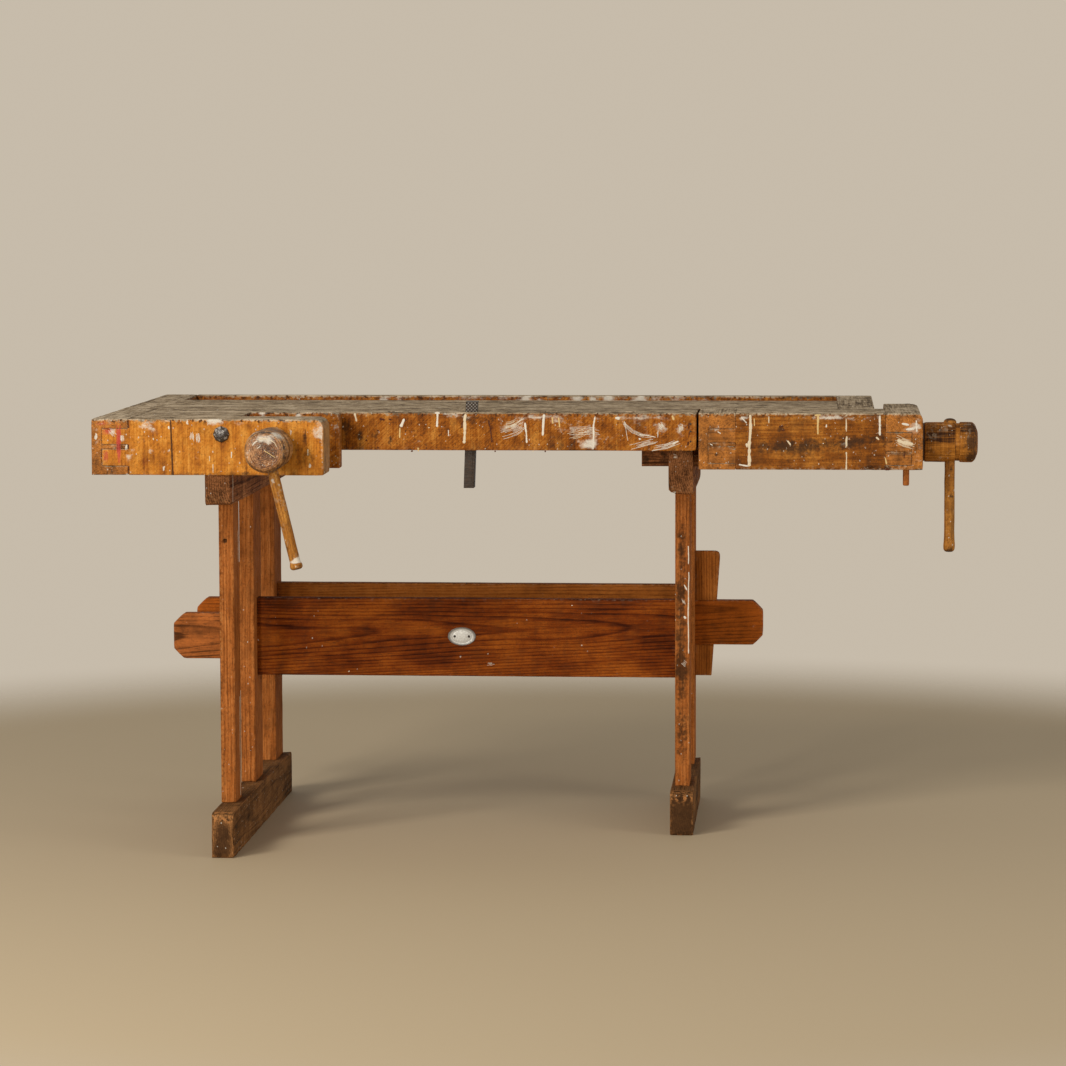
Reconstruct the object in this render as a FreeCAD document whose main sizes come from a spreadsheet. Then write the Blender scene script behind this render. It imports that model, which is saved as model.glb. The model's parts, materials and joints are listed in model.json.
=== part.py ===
import FreeCAD, Part
import os
import re
import Sketcher

# A joiner's bench: worktop with a tool tray, shoulder vise, tail vise and a trestle base.
# Bench coordinates: X from the left end, Y back from the vise arm's front, Z up from the floor.

SIZES = {
    # worktop
    "bench_height": 825,
    "slab_thickness": 72,
    "cap_width": 68,
    "apron_length": 1044,
    "apron_thickness": 60,
    "middle_board_width": 126,
    "rear_board_width": 126,
    "tray_width": 161,
    "tray_floor_thickness": 14,
    "rail_thickness": 25,
    "right_cap_width": 70,
    # shoulder vise at the left front
    "arm_thickness": 86,
    "arm_height": 104,
    "arm_lap": 19.5,
    "arm_top_finger": 18,
    "arm_upper_tail": 29.5,
    "arm_middle_finger": 8.5,
    "arm_lower_tail": 31,
    "vise_opening": 126,
    "spacer_width": 197,
    "chop_gap": 12,
    "chop_side_gap": 3,
    "chop_thickness": 36,
    "chop_width": 173,
    "chop_right_overhang": 8,
    "chop_rise": 3,
    "chop_lift": 1,
    "front_screw_from_end": 92.5,
    "screw_radius": 23,
    "neck_radius": 18,
    "collar_depth": 20,
    "garter_thickness": 8,
    "garter_width": 96,
    "garter_height": 76,
    "front_hub_gap": 14,
    "front_hub_length": 111,
    "front_hub_radius": 41,
    "front_hub_face_radius": 33,
    "front_hub_rounding": 12,
    "spigot_length": 46,
    "bar_radius": 10.8,
    "bar_setback": 64,
    "front_bar_tilt": 13.5,
    "front_bar_above": 36,
    "front_bar_below": 224,
    "front_bar_end_radius": 12.6,
    "front_bar_end_length": 30,
    "bolt_from_left": 243,
    "bolt_below_top": 28,
    "bolt_radius": 7,
    "bolt_head_radius": 15.5,
    "bolt_crown_radius": 9,
    "bolt_head_height": 8,
    "bolt_rim_height": 2.7,
    "tie_nut_size": 26,
    "tie_nut_thickness": 12,
    "tie_nut_setback": 30,
    # tail vise at the right
    "jaw_gap": 4,
    "tail_length": 421,
    "tail_height": 107,
    "tail_depth": 141.5,
    "tail_end_width": 70,
    "tail_end_depth": 310,
    "tail_end_clearance": 19,
    "tail_block_width": 69.5,
    "tail_lap": 18,
    "tail_top_finger": 29.5,
    "tail_upper_tail": 27,
    "tail_middle_finger": 6,
    "tail_lower_tail": 33,
    "end_lap": 21,
    "end_top_finger": 36,
    "end_upper_tail": 37,
    "end_middle_finger": 3,
    "end_lower_tail": 22,
    "tail_board_thickness": 50,
    "tail_lid_thickness": 25,
    "tail_screw_setback": 78,
    "tail_screw_below_top": 59,
    "tail_screw_radius": 22,
    "tail_screw_reach": 175,
    "nut_clearance": 1,
    "nut_below_axis": 42,
    "washer_thickness": 3.5,
    "washer_radius": 36,
    "tail_hub_length": 101,
    "tail_hub_radius": 39,
    "tail_hub_chamfer": 8.5,
    "tail_spigot_length": 31,
    "tail_groove_place": 58.5,
    "tail_groove_width": 8,
    "tail_groove_depth": 2,
    "tail_bar_place": 49,
    "tail_bar_seat_depth": 5,
    "tail_bar_head_radius": 12.5,
    "tail_bar_head_height": 11,
    "tail_bar_crown_radius": 6.5,
    "tail_bar_length": 254,
    "tail_bar_bulb_radius": 11.6,
    "tail_bar_bulb_length": 26,
    "runner_thickness": 36,
    "runner_height": 41,
    "runner_setback": 160,
    "runner_reach": 466,
    "peg_radius": 6.4,
    "peg_from_end": 31,
    "peg_setback": 26,
    "peg_drop": 31,
    # bench dogs
    "dog_width": 20,
    "dog_depth": 25,
    "dog_length": 146,
    "dog_tilt": 2.1,
    "dog_head_width": 22.5,
    "dog_head_depth": 27,
    "dog_head_height": 19,
    "dog_setback": 30,
    "dog_first_place": 466,
    "dog_spacing": 150,
    "tail_dog_first_place": 146,
    "tail_dog_spacing": 150,
    # left trestle
    "foot_height": 85,
    "foot_bevel": 8,
    "left_foot_place": 212,
    "left_foot_width": 42,
    "left_foot_front": 26,
    "left_foot_length": 770.5,
    "post_width": 28.5,
    "front_post_front": 144,
    "front_post_depth": 60,
    "middle_post_front": 391,
    "post_depth": 97,
    "rear_post_front": 666,
    "bearer_width": 47.5,
    "bearer_height": 93,
    "bearer_bevel": 10,
    "bearer_tail": 8,
    "left_bearer_overhang": 8,
    "left_bearer_front": 41,
    # right trestle
    "right_post_place": 1065,
    "right_foot_overhang": 7,
    "right_foot_width": 45,
    "right_foot_front": 320,
    "right_foot_length": 450,
    "right_bearer_overhang": 10,
    "right_bearer_front": 314,
    "tenon_thickness": 12,
    "tenon_shoulder": 12,
    "tenon_length": 44,
    "dowel_radius": 8,
    "dowel_length": 60,
    "left_dowel_front": 300,
    "right_dowel_front": 440,
    "dowel_rear": 560,
    # stretchers, wedges and the plain oval plate
    "stretcher_bottom": 293,
    "stretcher_height": 153,
    "stretcher_thickness": 26,
    "stub_height": 90,
    "stub_length": 137.5,
    "stub_chamfer": 20,
    "blind_tenon": 20,
    "wedge_thickness": 14,
    "wedge_height": 254,
    "wedge_drop": 64,
    "right_wedge_top": 51,
    "right_wedge_bottom": 33,
    "left_wedge_top": 36,
    "left_wedge_bottom": 24,
    "plate_width": 55,
    "plate_height": 36,
    "plate_thickness": 1.5,
    "plate_place": 645.5,
    "plate_lift": 2.4,
    "plate_nail_spacing": 28,
    "plate_nail_radius": 2.4,
    "plate_nail_height": 1.2,
    # fits
    "slide_clearance": 0.5,
    "running_clearance": 0.05,
    "bar_clearance": 0.4,
    "hole_clearance": 0.2,
}

PLACES = {
    # heights
    "slab_bottom": "bench_height - slab_thickness",
    "arm_bottom": "bench_height - arm_height",
    "tail_bottom": "bench_height - tail_height",
    "bearer_bottom": "slab_bottom - bearer_height",
    "front_axis_height": "bench_height - arm_height / 2",
    "tail_axis_height": "bench_height - tail_screw_below_top",
    "bolt_height": "bench_height - bolt_below_top",
    # lengths from the left end
    "apron_right": "cap_width + apron_length",
    "tail_left": "apron_right + jaw_gap",
    "tail_right": "tail_left + tail_length",
    "end_left": "tail_right - tail_end_width",
    "block_right": "tail_left + tail_block_width",
    "right_cap_right": "end_left - tail_end_clearance",
    "right_cap_left": "right_cap_right - right_cap_width",
    "chop_left": "cap_width + spacer_width + chop_side_gap",
    "chop_right": "chop_left + chop_width",
    "arm_right": "chop_right - chop_right_overhang",
    "front_axis_x": "arm_right - front_screw_from_end",
    "tail_hub_left": "tail_right + washer_thickness",
    "tail_hub_right": "tail_hub_left + tail_hub_length",
    "tail_bar_x": "tail_hub_left + tail_bar_place",
    "tail_screw_left": "end_left - tail_screw_reach",
    "left_post_right": "left_foot_place + post_width",
    "right_post_right": "right_post_place + post_width",
    "left_bearer_x": "left_foot_place - left_bearer_overhang",
    "right_bearer_x": "right_post_place - right_bearer_overhang",
    "right_foot_x": "right_post_place - right_foot_overhang",
    # depths from the arm's front
    "apron_front": "arm_thickness + vise_opening",
    "apron_rear": "apron_front + apron_thickness",
    "tail_rear": "apron_front + tail_depth",
    "middle_front": "tail_rear + slide_clearance",
    "middle_rear": "middle_front + middle_board_width",
    "tray_front": "middle_rear + rear_board_width",
    "rail_front": "tray_front + tray_width",
    "bench_back": "rail_front + rail_thickness",
    "chop_rear": "apron_front - chop_gap",
    "chop_front": "chop_rear - chop_thickness",
    "garter_front": "chop_front - garter_thickness",
    "front_hub_front": "0 - front_hub_gap - front_hub_length",
    "front_bar_y": "0 - front_hub_gap - bar_setback",
    "tail_axis_y": "apron_front + tail_screw_setback",
    "runner_front": "apron_front + runner_setback",
    "runner_rear": "runner_front + runner_thickness",
    "bearer_back": "rear_post_front + post_depth + bearer_tail",
    "left_foot_back": "left_foot_front + left_foot_length",
    "front_stretcher_y": "middle_post_front + (post_depth - stretcher_thickness) / 2",
    "rear_stretcher_y": "rear_post_front + (post_depth - stretcher_thickness) / 2",
    "dog_y": "apron_front + dog_setback",
    # the object's own frame: centre of the box that holds it, on the floor
    "centre_x": "tail_hub_right / 2",
    "centre_y": "(left_foot_back + front_hub_front) / 2",
}

doc = FreeCAD.newDocument("joiners_bench")
sheet = doc.addObject("Spreadsheet::Sheet", "sizes")
for row, (alias, value) in enumerate(SIZES.items(), start=1):
    sheet.set(f"A{row}", alias)
    sheet.set(f"B{row}", str(value))
    sheet.setAlias(f"B{row}", alias)
doc.recompute()

NODES = []
X_AXIS = FreeCAD.Vector(1, 0, 0)
Y_AXIS = FreeCAD.Vector(0, 1, 0)
ALONG = {
    "x": FreeCAD.Rotation(Y_AXIS, 90),
    "y": FreeCAD.Rotation(X_AXIS, -90),
    "z": FreeCAD.Rotation(),
}


def expand(formula):
    """A formula of size and place names as a sheet expression."""
    def word(match):
        name = match.group(0)
        if name in PLACES:
            return "(" + expand(PLACES[name]) + ")"
        return "sizes." + name if name in SIZES else name
    return re.sub(r"[a-z][a-z_0-9]*", word, str(formula))


def bind(obj, prop, formula):
    obj.setExpression(prop, expand(formula))


def put(obj, x, y, z):
    """Bind an object's place, given in bench coordinates."""
    bind(obj, "Placement.Base.x", f"{x} - centre_x")
    bind(obj, "Placement.Base.y", f"{y} - centre_y")
    bind(obj, "Placement.Base.z", z)


def box(name, x, y, z):
    """A box between low and high limits along each axis."""
    obj = doc.addObject("Part::Box", name)
    for prop, (low, high) in zip(("Length", "Width", "Height"), (x, y, z)):
        bind(obj, prop, f"({high}) - ({low})")
    put(obj, f"({x[0]})", f"({y[0]})", z[0])
    return obj


def rod(name, axis, place, span, radius):
    """A round rod along one axis: place gives its two other coordinates."""
    obj = doc.addObject("Part::Cylinder", name)
    obj.Placement = FreeCAD.Placement(FreeCAD.Vector(), ALONG[axis])
    bind(obj, "Radius", radius)
    bind(obj, "Height", f"({span[1]}) - ({span[0]})")
    spot = list(place)
    spot.insert("xyz".index(axis), f"({span[0]})")
    put(obj, *spot)
    return obj


def polygon_sketch(body, plane, points):
    """A closed outline whose corners are each held at a bound distance from the origin."""
    sketch = body.newObject("Sketcher::SketchObject", body.Name + "_outline")
    support = [part for part in body.Origin.OriginFeatures if part.Role == plane][0]
    sketch.AttachmentSupport = [(support, "")]
    sketch.MapMode = "FlatFace"
    values = [[sheet.evalExpression(expand(value)) for value in point] for point in points]
    count = len(points)
    for index in range(count):
        start = FreeCAD.Vector(*values[index], 0)
        end = FreeCAD.Vector(*values[(index + 1) % count], 0)
        sketch.addGeometry(Part.LineSegment(start, end))
    for index in range(count):
        sketch.addConstraint(Sketcher.Constraint("Coincident", index, 2, (index + 1) % count, 1))
    for index, point in enumerate(points):
        for kind, number, formula in zip(("DistanceX", "DistanceY"), values[index], point):
            held = sketch.addConstraint(Sketcher.Constraint(kind, -1, 1, index, 1, number))
            sketch.setExpression(f"Constraints[{held}]", expand(formula))
    return sketch


def prism(name, plane, points, span):
    """An outline in the XZ or YZ plane, padded across the span of the third axis."""
    body = doc.addObject("PartDesign::Body", name)
    sketch = polygon_sketch(body, plane, points)
    pad = body.newObject("PartDesign::Pad", name + "_pad")
    pad.Profile = sketch
    bind(pad, "Length", f"({span[1]}) - ({span[0]})")
    if plane == "XZ_Plane":
        put(body, "0", f"({span[1]})", "0")
    else:
        put(body, f"({span[0]})", "0", "0")
    sketch.Visibility = False
    return body


def turned(name, plane, axis, points, place):
    """A turned piece: an outline swept round a sketch axis that passes through place."""
    body = doc.addObject("PartDesign::Body", name)
    sketch = polygon_sketch(body, plane, points)
    turn = body.newObject("PartDesign::Revolution", name + "_turn")
    turn.Profile = sketch
    turn.ReferenceAxis = (sketch, [axis])
    turn.Angle = 360
    put(body, *place)
    return body


def tilted(name, tools, place, angle):
    """A group of pieces drawn about the origin, turned about Y and carried to place."""
    obj = doc.addObject("Part::Compound", name)
    obj.Links = tools
    tilt(obj, place, angle)
    return obj


def tilt(obj, place, angle):
    obj.Placement = FreeCAD.Placement(FreeCAD.Vector(), FreeCAD.Rotation(Y_AXIS, 1))
    bind(obj, "Placement.Rotation.Angle", angle)
    put(obj, *place)


def local_box(name, x, y, z):
    """A box about the origin, for pieces that are tilted as a whole."""
    obj = doc.addObject("Part::Box", name)
    for prop, (low, high) in zip(("Length", "Width", "Height"), (x, y, z)):
        bind(obj, prop, f"({high}) - ({low})")
    for axis, (low, _) in zip("xyz", (x, y, z)):
        bind(obj, f"Placement.Base.{axis}", low)
    return obj


def fuse(name, *pieces):
    obj = doc.addObject("Part::MultiFuse", name)
    obj.Shapes = list(pieces)
    obj.Refine = True
    return obj


def cut(name, base, *tools):
    """The base with every tool taken out of it."""
    obj = doc.addObject("Part::Cut", name)
    obj.Base = base
    obj.Tool = tools[0] if len(tools) == 1 else fuse(name + "_tools", *tools)
    obj.Refine = True
    return obj


def node(label, obj):
    """Hand a finished piece in under its name."""
    obj.Label = label
    NODES.append(obj)
    return obj


def middle(centre, size):
    """Low and high limits of a size set evenly about a centre."""
    return f"{centre} - ({size}) / 2", f"{centre} + ({size}) / 2"


# Shared heights
FULL = ("slab_bottom", "bench_height")
ARM = ("arm_bottom", "bench_height")
TAIL = ("tail_bottom", "bench_height")


def finger_heights(top_finger, upper_tail, middle_finger, lower_tail):
    """The two height ranges of the tails of a corner joint, counted down from the top."""
    upper_top = f"bench_height - {top_finger}"
    upper_bottom = f"{upper_top} - {upper_tail}"
    lower_top = f"{upper_bottom} - {middle_finger}"
    return (upper_bottom, upper_top), (f"{lower_top} - {lower_tail}", lower_top)


def tails(name, x, y, heights):
    """The two tails that fill the slots of a finger joint."""
    return [box(f"{name}_{index}", x, y, height) for index, height in enumerate(heights)]


# Worktop

DOG_COUNT = 4
TAIL_DOG_COUNT = 2


def dog_slot(name, place_x, depth):
    """A slanted rectangular slot right through a board, around a bench dog's shank."""
    width = "dog_width / 2 + slide_clearance"
    reach = "dog_depth / 2 + slide_clearance"
    past = "dog_width"
    tool = local_box(name + "_tool", (f"0 - ({width})", width), (f"0 - ({reach})", reach),
                     (f"0 - ({depth}) - {past}", past))
    return tilted(name, [tool], (place_x, "dog_y", "bench_height"), "dog_tilt")


def dog_place(index):
    return f"(cap_width + dog_first_place + {index} * dog_spacing)"


def tail_dog_place(index):
    return f"(tail_left + tail_dog_first_place + {index} * tail_dog_spacing)"


def tie_bolt_hole(name, span):
    return rod(name, "y", ("bolt_from_left", "bolt_height"), span, "bolt_radius + hole_clearance")


def dowel(name, place, grow="0"):
    """A locating dowel, half in a bearer and half in the slab, or its hole with room to grow."""
    return rod(name, "z", place, middle("slab_bottom", "dowel_length"), f"dowel_radius + {grow}")


LEFT_DOWEL_X = "(left_bearer_x + bearer_width / 2)"
RIGHT_DOWEL_X = "(right_bearer_x + bearer_width / 2)"
DOWELS = [
    (LEFT_DOWEL_X, "left_dowel_front"),
    (LEFT_DOWEL_X, "dowel_rear"),
    (RIGHT_DOWEL_X, "right_dowel_front"),
    (RIGHT_DOWEL_X, "dowel_rear"),
]


def dowel_holes(name):
    return [dowel(f"{name}_dowel_hole_{index}", place, "hole_clearance")
            for index, place in enumerate(DOWELS)]


NUT_FRONT = "(apron_front + tie_nut_setback)"
NUT_SPAN = (NUT_FRONT, f"{NUT_FRONT} + tie_nut_thickness")


def make_worktop():
    apron = box("apron_blank", ("cap_width", "apron_right"), ("apron_front", "apron_rear"), FULL)
    slots = [dog_slot(f"apron_dog_slot_{index}", dog_place(index), "slab_thickness")
             for index in range(DOG_COUNT)]
    bolt_hole = tie_bolt_hole("apron_bolt_hole", ("apron_front", f"{NUT_SPAN[1]} + bolt_radius"))
    nut_pocket = box("apron_nut_pocket", middle("bolt_from_left", "tie_nut_size"), NUT_SPAN,
                     ("slab_bottom", "bolt_height + tie_nut_size / 2"))
    node("dog_strip", cut("dog_strip", apron, *slots, bolt_hole, nut_pocket))

    front = box("front_board_blank", ("cap_width", "apron_right"), ("apron_rear", "middle_front"), FULL)
    node("worktop_front_board", cut("worktop_front_board", front, *dowel_holes("front_board")))
    long_span = ("cap_width", "right_cap_left")
    centre = box("middle_board_blank", long_span, ("middle_front", "middle_rear"), FULL)
    node("worktop_middle_board", cut("worktop_middle_board", centre, *dowel_holes("middle_board")))
    rear = box("rear_board_blank", long_span, ("middle_rear", "tray_front"), FULL)
    node("worktop_rear_board", cut("worktop_rear_board", rear, *dowel_holes("rear_board")))

    tray_height = ("slab_bottom", "slab_bottom + tray_floor_thickness")
    node("tray_floor", box("tray_floor", long_span, ("tray_front", "rail_front"), tray_height))
    node("back_rail", box("back_rail", long_span, ("rail_front", "bench_back"), FULL))

    cap = box("left_cap_blank", ("0", "cap_width"), ("0", "bench_back"), ARM)
    sockets = tails("left_cap_socket", ("arm_lap", "cap_width"), ("0", "arm_thickness"), ARM_TAILS)
    node("left_end_cap", cut("left_end_cap", cap, *sockets))

    right_cap = box("right_cap_blank", ("right_cap_left", "right_cap_right"),
                    ("middle_front", "bench_back"), ARM)
    node("right_end_cap", cut("right_end_cap", right_cap, runner_way("right_cap_way")))

    dowels = [dowel(f"top_dowel_{index}", place) for index, place in enumerate(DOWELS)]
    group = doc.addObject("Part::Compound", "top_dowels")
    group.Links = dowels
    node("top_dowels", group)


# Shoulder vise

ARM_TAILS = finger_heights("arm_top_finger", "arm_upper_tail", "arm_middle_finger", "arm_lower_tail")
FRONT_AXIS = ("front_axis_x", "front_axis_height")


def make_arm():
    arm_depth = ("0", "arm_thickness")
    blank = box("arm_blank", ("cap_width", "arm_right"), arm_depth, ARM)
    joined = fuse("arm_joined", blank, *tails("arm_tail", ("arm_lap", "cap_width"), arm_depth, ARM_TAILS))
    screw_hole = rod("arm_screw_hole", "y", FRONT_AXIS, arm_depth, "screw_radius + running_clearance")
    bolt_hole = tie_bolt_hole("arm_bolt_hole", arm_depth)
    node("vise_arm", cut("vise_arm", joined, screw_hole, bolt_hole))

    spacer_depth = ("arm_thickness", "apron_front")
    spacer = box("spacer_blank", ("cap_width", "cap_width + spacer_width"), spacer_depth, ARM)
    node("arm_spacer", cut("arm_spacer", spacer, tie_bolt_hole("spacer_bolt_hole", spacer_depth)))

    crown = [("0", "0 - bolt_head_height"), ("bolt_crown_radius", "0 - bolt_head_height"),
             ("bolt_head_radius", "0 - bolt_rim_height"), ("bolt_head_radius", "0"),
             ("bolt_radius", "0"), ("bolt_radius", f"{NUT_SPAN[1]}"), ("0", f"{NUT_SPAN[1]}")]
    node("tie_bolt", turned("tie_bolt", "XY_Plane", "V_Axis", crown, ("bolt_from_left", "0", "bolt_height")))
    nut = box("tie_nut_blank", middle("bolt_from_left", "tie_nut_size"), NUT_SPAN,
              middle("bolt_height", "tie_nut_size"))
    node("tie_nut", cut("tie_nut", nut, tie_bolt_hole("tie_nut_hole", NUT_SPAN)))


def make_front_vise():
    chop_height = ("arm_bottom + chop_lift", "bench_height + chop_rise")
    chop = box("chop_blank", ("chop_left", "chop_right"), ("chop_front", "chop_rear"), chop_height)
    socket = rod("chop_socket", "y", FRONT_AXIS, ("chop_front", "chop_front + collar_depth"),
                 "screw_radius + running_clearance")
    node("front_chop", cut("front_chop", chop, socket))

    garter = box("garter_blank", middle("front_axis_x", "garter_width"), ("garter_front", "chop_front"),
                 middle("front_axis_height", "garter_height"))
    neck_hole = rod("garter_hole", "y", FRONT_AXIS, ("garter_front", "chop_front"),
                    "neck_radius + running_clearance")
    node("front_garter", cut("front_garter", garter, neck_hole))

    shaft_end = "chop_front + collar_depth - slide_clearance"
    neck_front = "garter_front - slide_clearance"
    neck_rear = "chop_front + slide_clearance"
    spigot = "0 - front_hub_gap - spigot_length"
    shaft = [("0", spigot), ("neck_radius", spigot), ("neck_radius", "0 - front_hub_gap"),
             ("screw_radius", "0 - front_hub_gap"), ("screw_radius", neck_front),
             ("neck_radius", neck_front),
             ("neck_radius", neck_rear), ("screw_radius", neck_rear), ("screw_radius", shaft_end),
             ("0", shaft_end)]
    place = ("front_axis_x", "0", "front_axis_height")
    screw = turned("front_screw_blank", "XY_Plane", "V_Axis", shaft, place)
    node("front_screw", screw)

    face = "front_hub_front"
    back = "0 - front_hub_gap"
    rim = f"{face} + front_hub_rounding"
    outline = [("0", face), ("front_hub_face_radius", face), ("front_hub_radius", rim),
               ("front_hub_radius", back), ("neck_radius", back), ("neck_radius", spigot), ("0", spigot)]
    hub = turned("front_hub_blank", "XY_Plane", "V_Axis", outline, place)
    bar_place = ("front_axis_x", "front_bar_y", "front_axis_height")
    drill = doc.addObject("Part::Cylinder", "front_bar_drill")
    bind(drill, "Radius", "bar_radius + bar_clearance")
    bind(drill, "Height", "4 * front_hub_radius")
    bind(drill, "Placement.Base.z", "0 - 2 * front_hub_radius")
    hole = tilted("front_bar_hole", [drill], bar_place, "0 - front_bar_tilt")
    node("front_hub", cut("front_hub", hub, hole))

    low = "0 - front_bar_below"
    flare = f"{low} + front_bar_end_length"
    bar = [("0", low), ("front_bar_end_radius", low), ("bar_radius", flare),
           ("bar_radius", "front_bar_above"), ("0", "front_bar_above")]
    front_bar = turned("front_bar", "XZ_Plane", "V_Axis", bar, bar_place)
    tilt(front_bar, bar_place, "0 - front_bar_tilt")
    node("front_bar", front_bar)


# Tail vise

BLOCK_TAILS = finger_heights("tail_top_finger", "tail_upper_tail", "tail_middle_finger", "tail_lower_tail")
END_TAILS = finger_heights("end_top_finger", "end_upper_tail", "end_middle_finger", "end_lower_tail")
BLOCK_TAIL_SPAN = ("tail_left + tail_lap", "block_right")
END_TAIL_SPAN = ("end_left", "tail_right - end_lap")
TAIL_AXIS = ("tail_axis_y", "tail_axis_height")
TAIL_BOARD = ("apron_front", "apron_front + tail_board_thickness")
PEG_PLACE = ("(tail_right - peg_from_end)", "(apron_front + peg_setback)")
RUNNER_TOP = "slab_bottom - slide_clearance"
RUNNER_BOTTOM = "slab_bottom - slide_clearance - runner_height"


def runner_way(name):
    """The clear way for the tail vise's runner through what crosses its path."""
    return box(name, ("right_bearer_x - bearer_width", "right_cap_right"),
               ("runner_front - slide_clearance", "runner_rear + slide_clearance"),
               (f"{RUNNER_BOTTOM} - slide_clearance", "slab_bottom"))


def make_tail_jaw():
    depth = ("apron_front", "tail_rear")
    block = box("tail_block_blank", ("tail_left", "block_right"), depth, TAIL)
    sockets = tails("tail_block_socket", BLOCK_TAIL_SPAN, TAIL_BOARD, BLOCK_TAILS)
    node("tail_jaw_block", cut("tail_jaw_block", block, *sockets))

    board = box("tail_board_blank", ("block_right", "end_left"), TAIL_BOARD, TAIL)
    left_tails = tails("tail_board_left_tail", BLOCK_TAIL_SPAN, TAIL_BOARD, BLOCK_TAILS)
    right_tails = tails("tail_board_right_tail", END_TAIL_SPAN, TAIL_BOARD, END_TAILS)
    joined = fuse("tail_board_joined", board, *left_tails, *right_tails)
    slots = [dog_slot(f"tail_dog_slot_{index}", tail_dog_place(index), "tail_height")
             for index in range(TAIL_DOG_COUNT)]
    peg_hole = rod("tail_board_peg_hole", "z", PEG_PLACE, TAIL, "peg_radius + running_clearance")
    node("tail_front_board", cut("tail_front_board", joined, *slots, peg_hole))

    end_depth = ("apron_front", "apron_front + tail_end_depth")
    end = box("tail_end_blank", ("end_left", "tail_right"), end_depth, TAIL)
    end_sockets = tails("tail_end_socket", END_TAIL_SPAN, TAIL_BOARD, END_TAILS)
    screw_hole = rod("tail_end_screw_hole", "x", TAIL_AXIS, ("end_left", "tail_right"),
                     "tail_screw_radius + running_clearance")
    end_peg_hole = rod("tail_end_peg_hole", "z", PEG_PLACE, TAIL, "peg_radius + running_clearance")
    node("tail_end_block", cut("tail_end_block", end, *end_sockets, screw_hole, end_peg_hole))

    lid_height = ("bench_height - tail_lid_thickness", "bench_height")
    node("tail_top_board", box("tail_top_board", ("block_right", "end_left"), (TAIL_BOARD[1], "tail_rear"),
                               lid_height))
    node("tail_runner", box("tail_runner", ("end_left - runner_reach", "end_left"),
                            ("runner_front", "runner_rear"), (RUNNER_BOTTOM, RUNNER_TOP)))

    washer = rod("washer_blank", "x", TAIL_AXIS, ("tail_right", "tail_hub_left"), "washer_radius")
    washer_hole = rod("washer_hole", "x", TAIL_AXIS, ("tail_right", "tail_hub_left"),
                      "tail_screw_radius + running_clearance")
    node("tail_washer", cut("tail_washer", washer, washer_hole))

    peg_span = ("tail_bottom - peg_drop", "bench_height - slide_clearance")
    node("tail_peg", rod("tail_peg", "z", PEG_PLACE, peg_span, "peg_radius"))


def make_tail_screw():
    nut_top = "bench_height - tail_lid_thickness - nut_clearance"
    nut_span = ("right_cap_left", "right_cap_right")
    nut = box("tail_nut_blank", nut_span, (f"{TAIL_BOARD[1]} + nut_clearance", "middle_front"),
              ("tail_axis_height - nut_below_axis", nut_top))
    nut_hole = rod("tail_nut_hole", "x", TAIL_AXIS, nut_span,
                   "tail_screw_radius + running_clearance")
    node("tail_nut", cut("tail_nut", nut, nut_hole))

    spigot = "tail_hub_left + tail_spigot_length"
    shaft = [("tail_screw_left", "0"), ("tail_screw_left", "tail_screw_radius"),
             ("tail_hub_left", "tail_screw_radius"), ("tail_hub_left", "neck_radius"),
             (spigot, "neck_radius"), (spigot, "0")]
    place = ("0", "tail_axis_y", "tail_axis_height")
    node("tail_screw", turned("tail_screw", "XY_Plane", "H_Axis", shaft, place))

    groove_left = "tail_hub_left + tail_groove_place"
    groove_right = f"{groove_left} + tail_groove_width"
    floor_radius = "tail_hub_radius - tail_groove_depth"
    outline = [(spigot, "0"), (spigot, "neck_radius"), ("tail_hub_left", "neck_radius"),
               ("tail_hub_left", "tail_hub_radius"), (groove_left, "tail_hub_radius"),
               (groove_left, floor_radius), (groove_right, floor_radius), (groove_right, "tail_hub_radius"),
               ("tail_hub_right - tail_hub_chamfer", "tail_hub_radius"),
               ("tail_hub_right", "tail_hub_radius - tail_hub_chamfer"), ("tail_hub_right", "0")]
    hub = turned("tail_hub_blank", "XY_Plane", "H_Axis", outline, place)
    hub_heights = ("tail_axis_height - 2 * tail_hub_radius", "tail_axis_height + 2 * tail_hub_radius")
    bar_spot = ("tail_bar_x", "tail_axis_y")
    seat = "tail_axis_height + tail_hub_radius - tail_bar_seat_depth"
    hole = rod("tail_bar_hole", "z", bar_spot, hub_heights, "bar_radius + bar_clearance")
    recess = rod("tail_bar_seat", "z", bar_spot, (seat, hub_heights[1]),
                 "tail_bar_head_radius + bar_clearance")
    node("tail_hub", cut("tail_hub", hub, hole, recess))

    head_top = "tail_hub_radius - tail_bar_seat_depth + tail_bar_head_height"
    low = f"{head_top} - tail_bar_length"
    seat_level = "tail_hub_radius - tail_bar_seat_depth"
    bar = [("0", low), ("bar_radius", low), ("tail_bar_bulb_radius", f"{low} + tail_bar_bulb_length / 2"),
           ("bar_radius", f"{low} + tail_bar_bulb_length"), ("bar_radius", seat_level),
           ("tail_bar_head_radius", seat_level),
           ("tail_bar_head_radius", f"{seat_level} + tail_bar_head_height / 2"),
           ("tail_bar_crown_radius", head_top), ("0", head_top)]
    node("tail_bar", turned("tail_bar", "XZ_Plane", "V_Axis", bar,
                            ("tail_bar_x", "tail_axis_y", "tail_axis_height")))


# Bench dog

DOG_IN_USE = 1


def make_dog():
    shank = local_box("dog_shank", middle("0", "dog_width"), middle("0", "dog_depth"),
                      ("0 - dog_length", "0"))
    head = local_box("dog_head", middle("0", "dog_head_width"), middle("0", "dog_head_depth"),
                     ("0", "dog_head_height"))
    dog = fuse("bench_dog", shank, head)
    rest_height = "bench_height + dog_head_width / 2 * sin(dog_tilt * 1deg)"
    tilt(dog, (dog_place(DOG_IN_USE), "dog_y", rest_height), "dog_tilt")
    node("bench_dog", dog)


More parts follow.
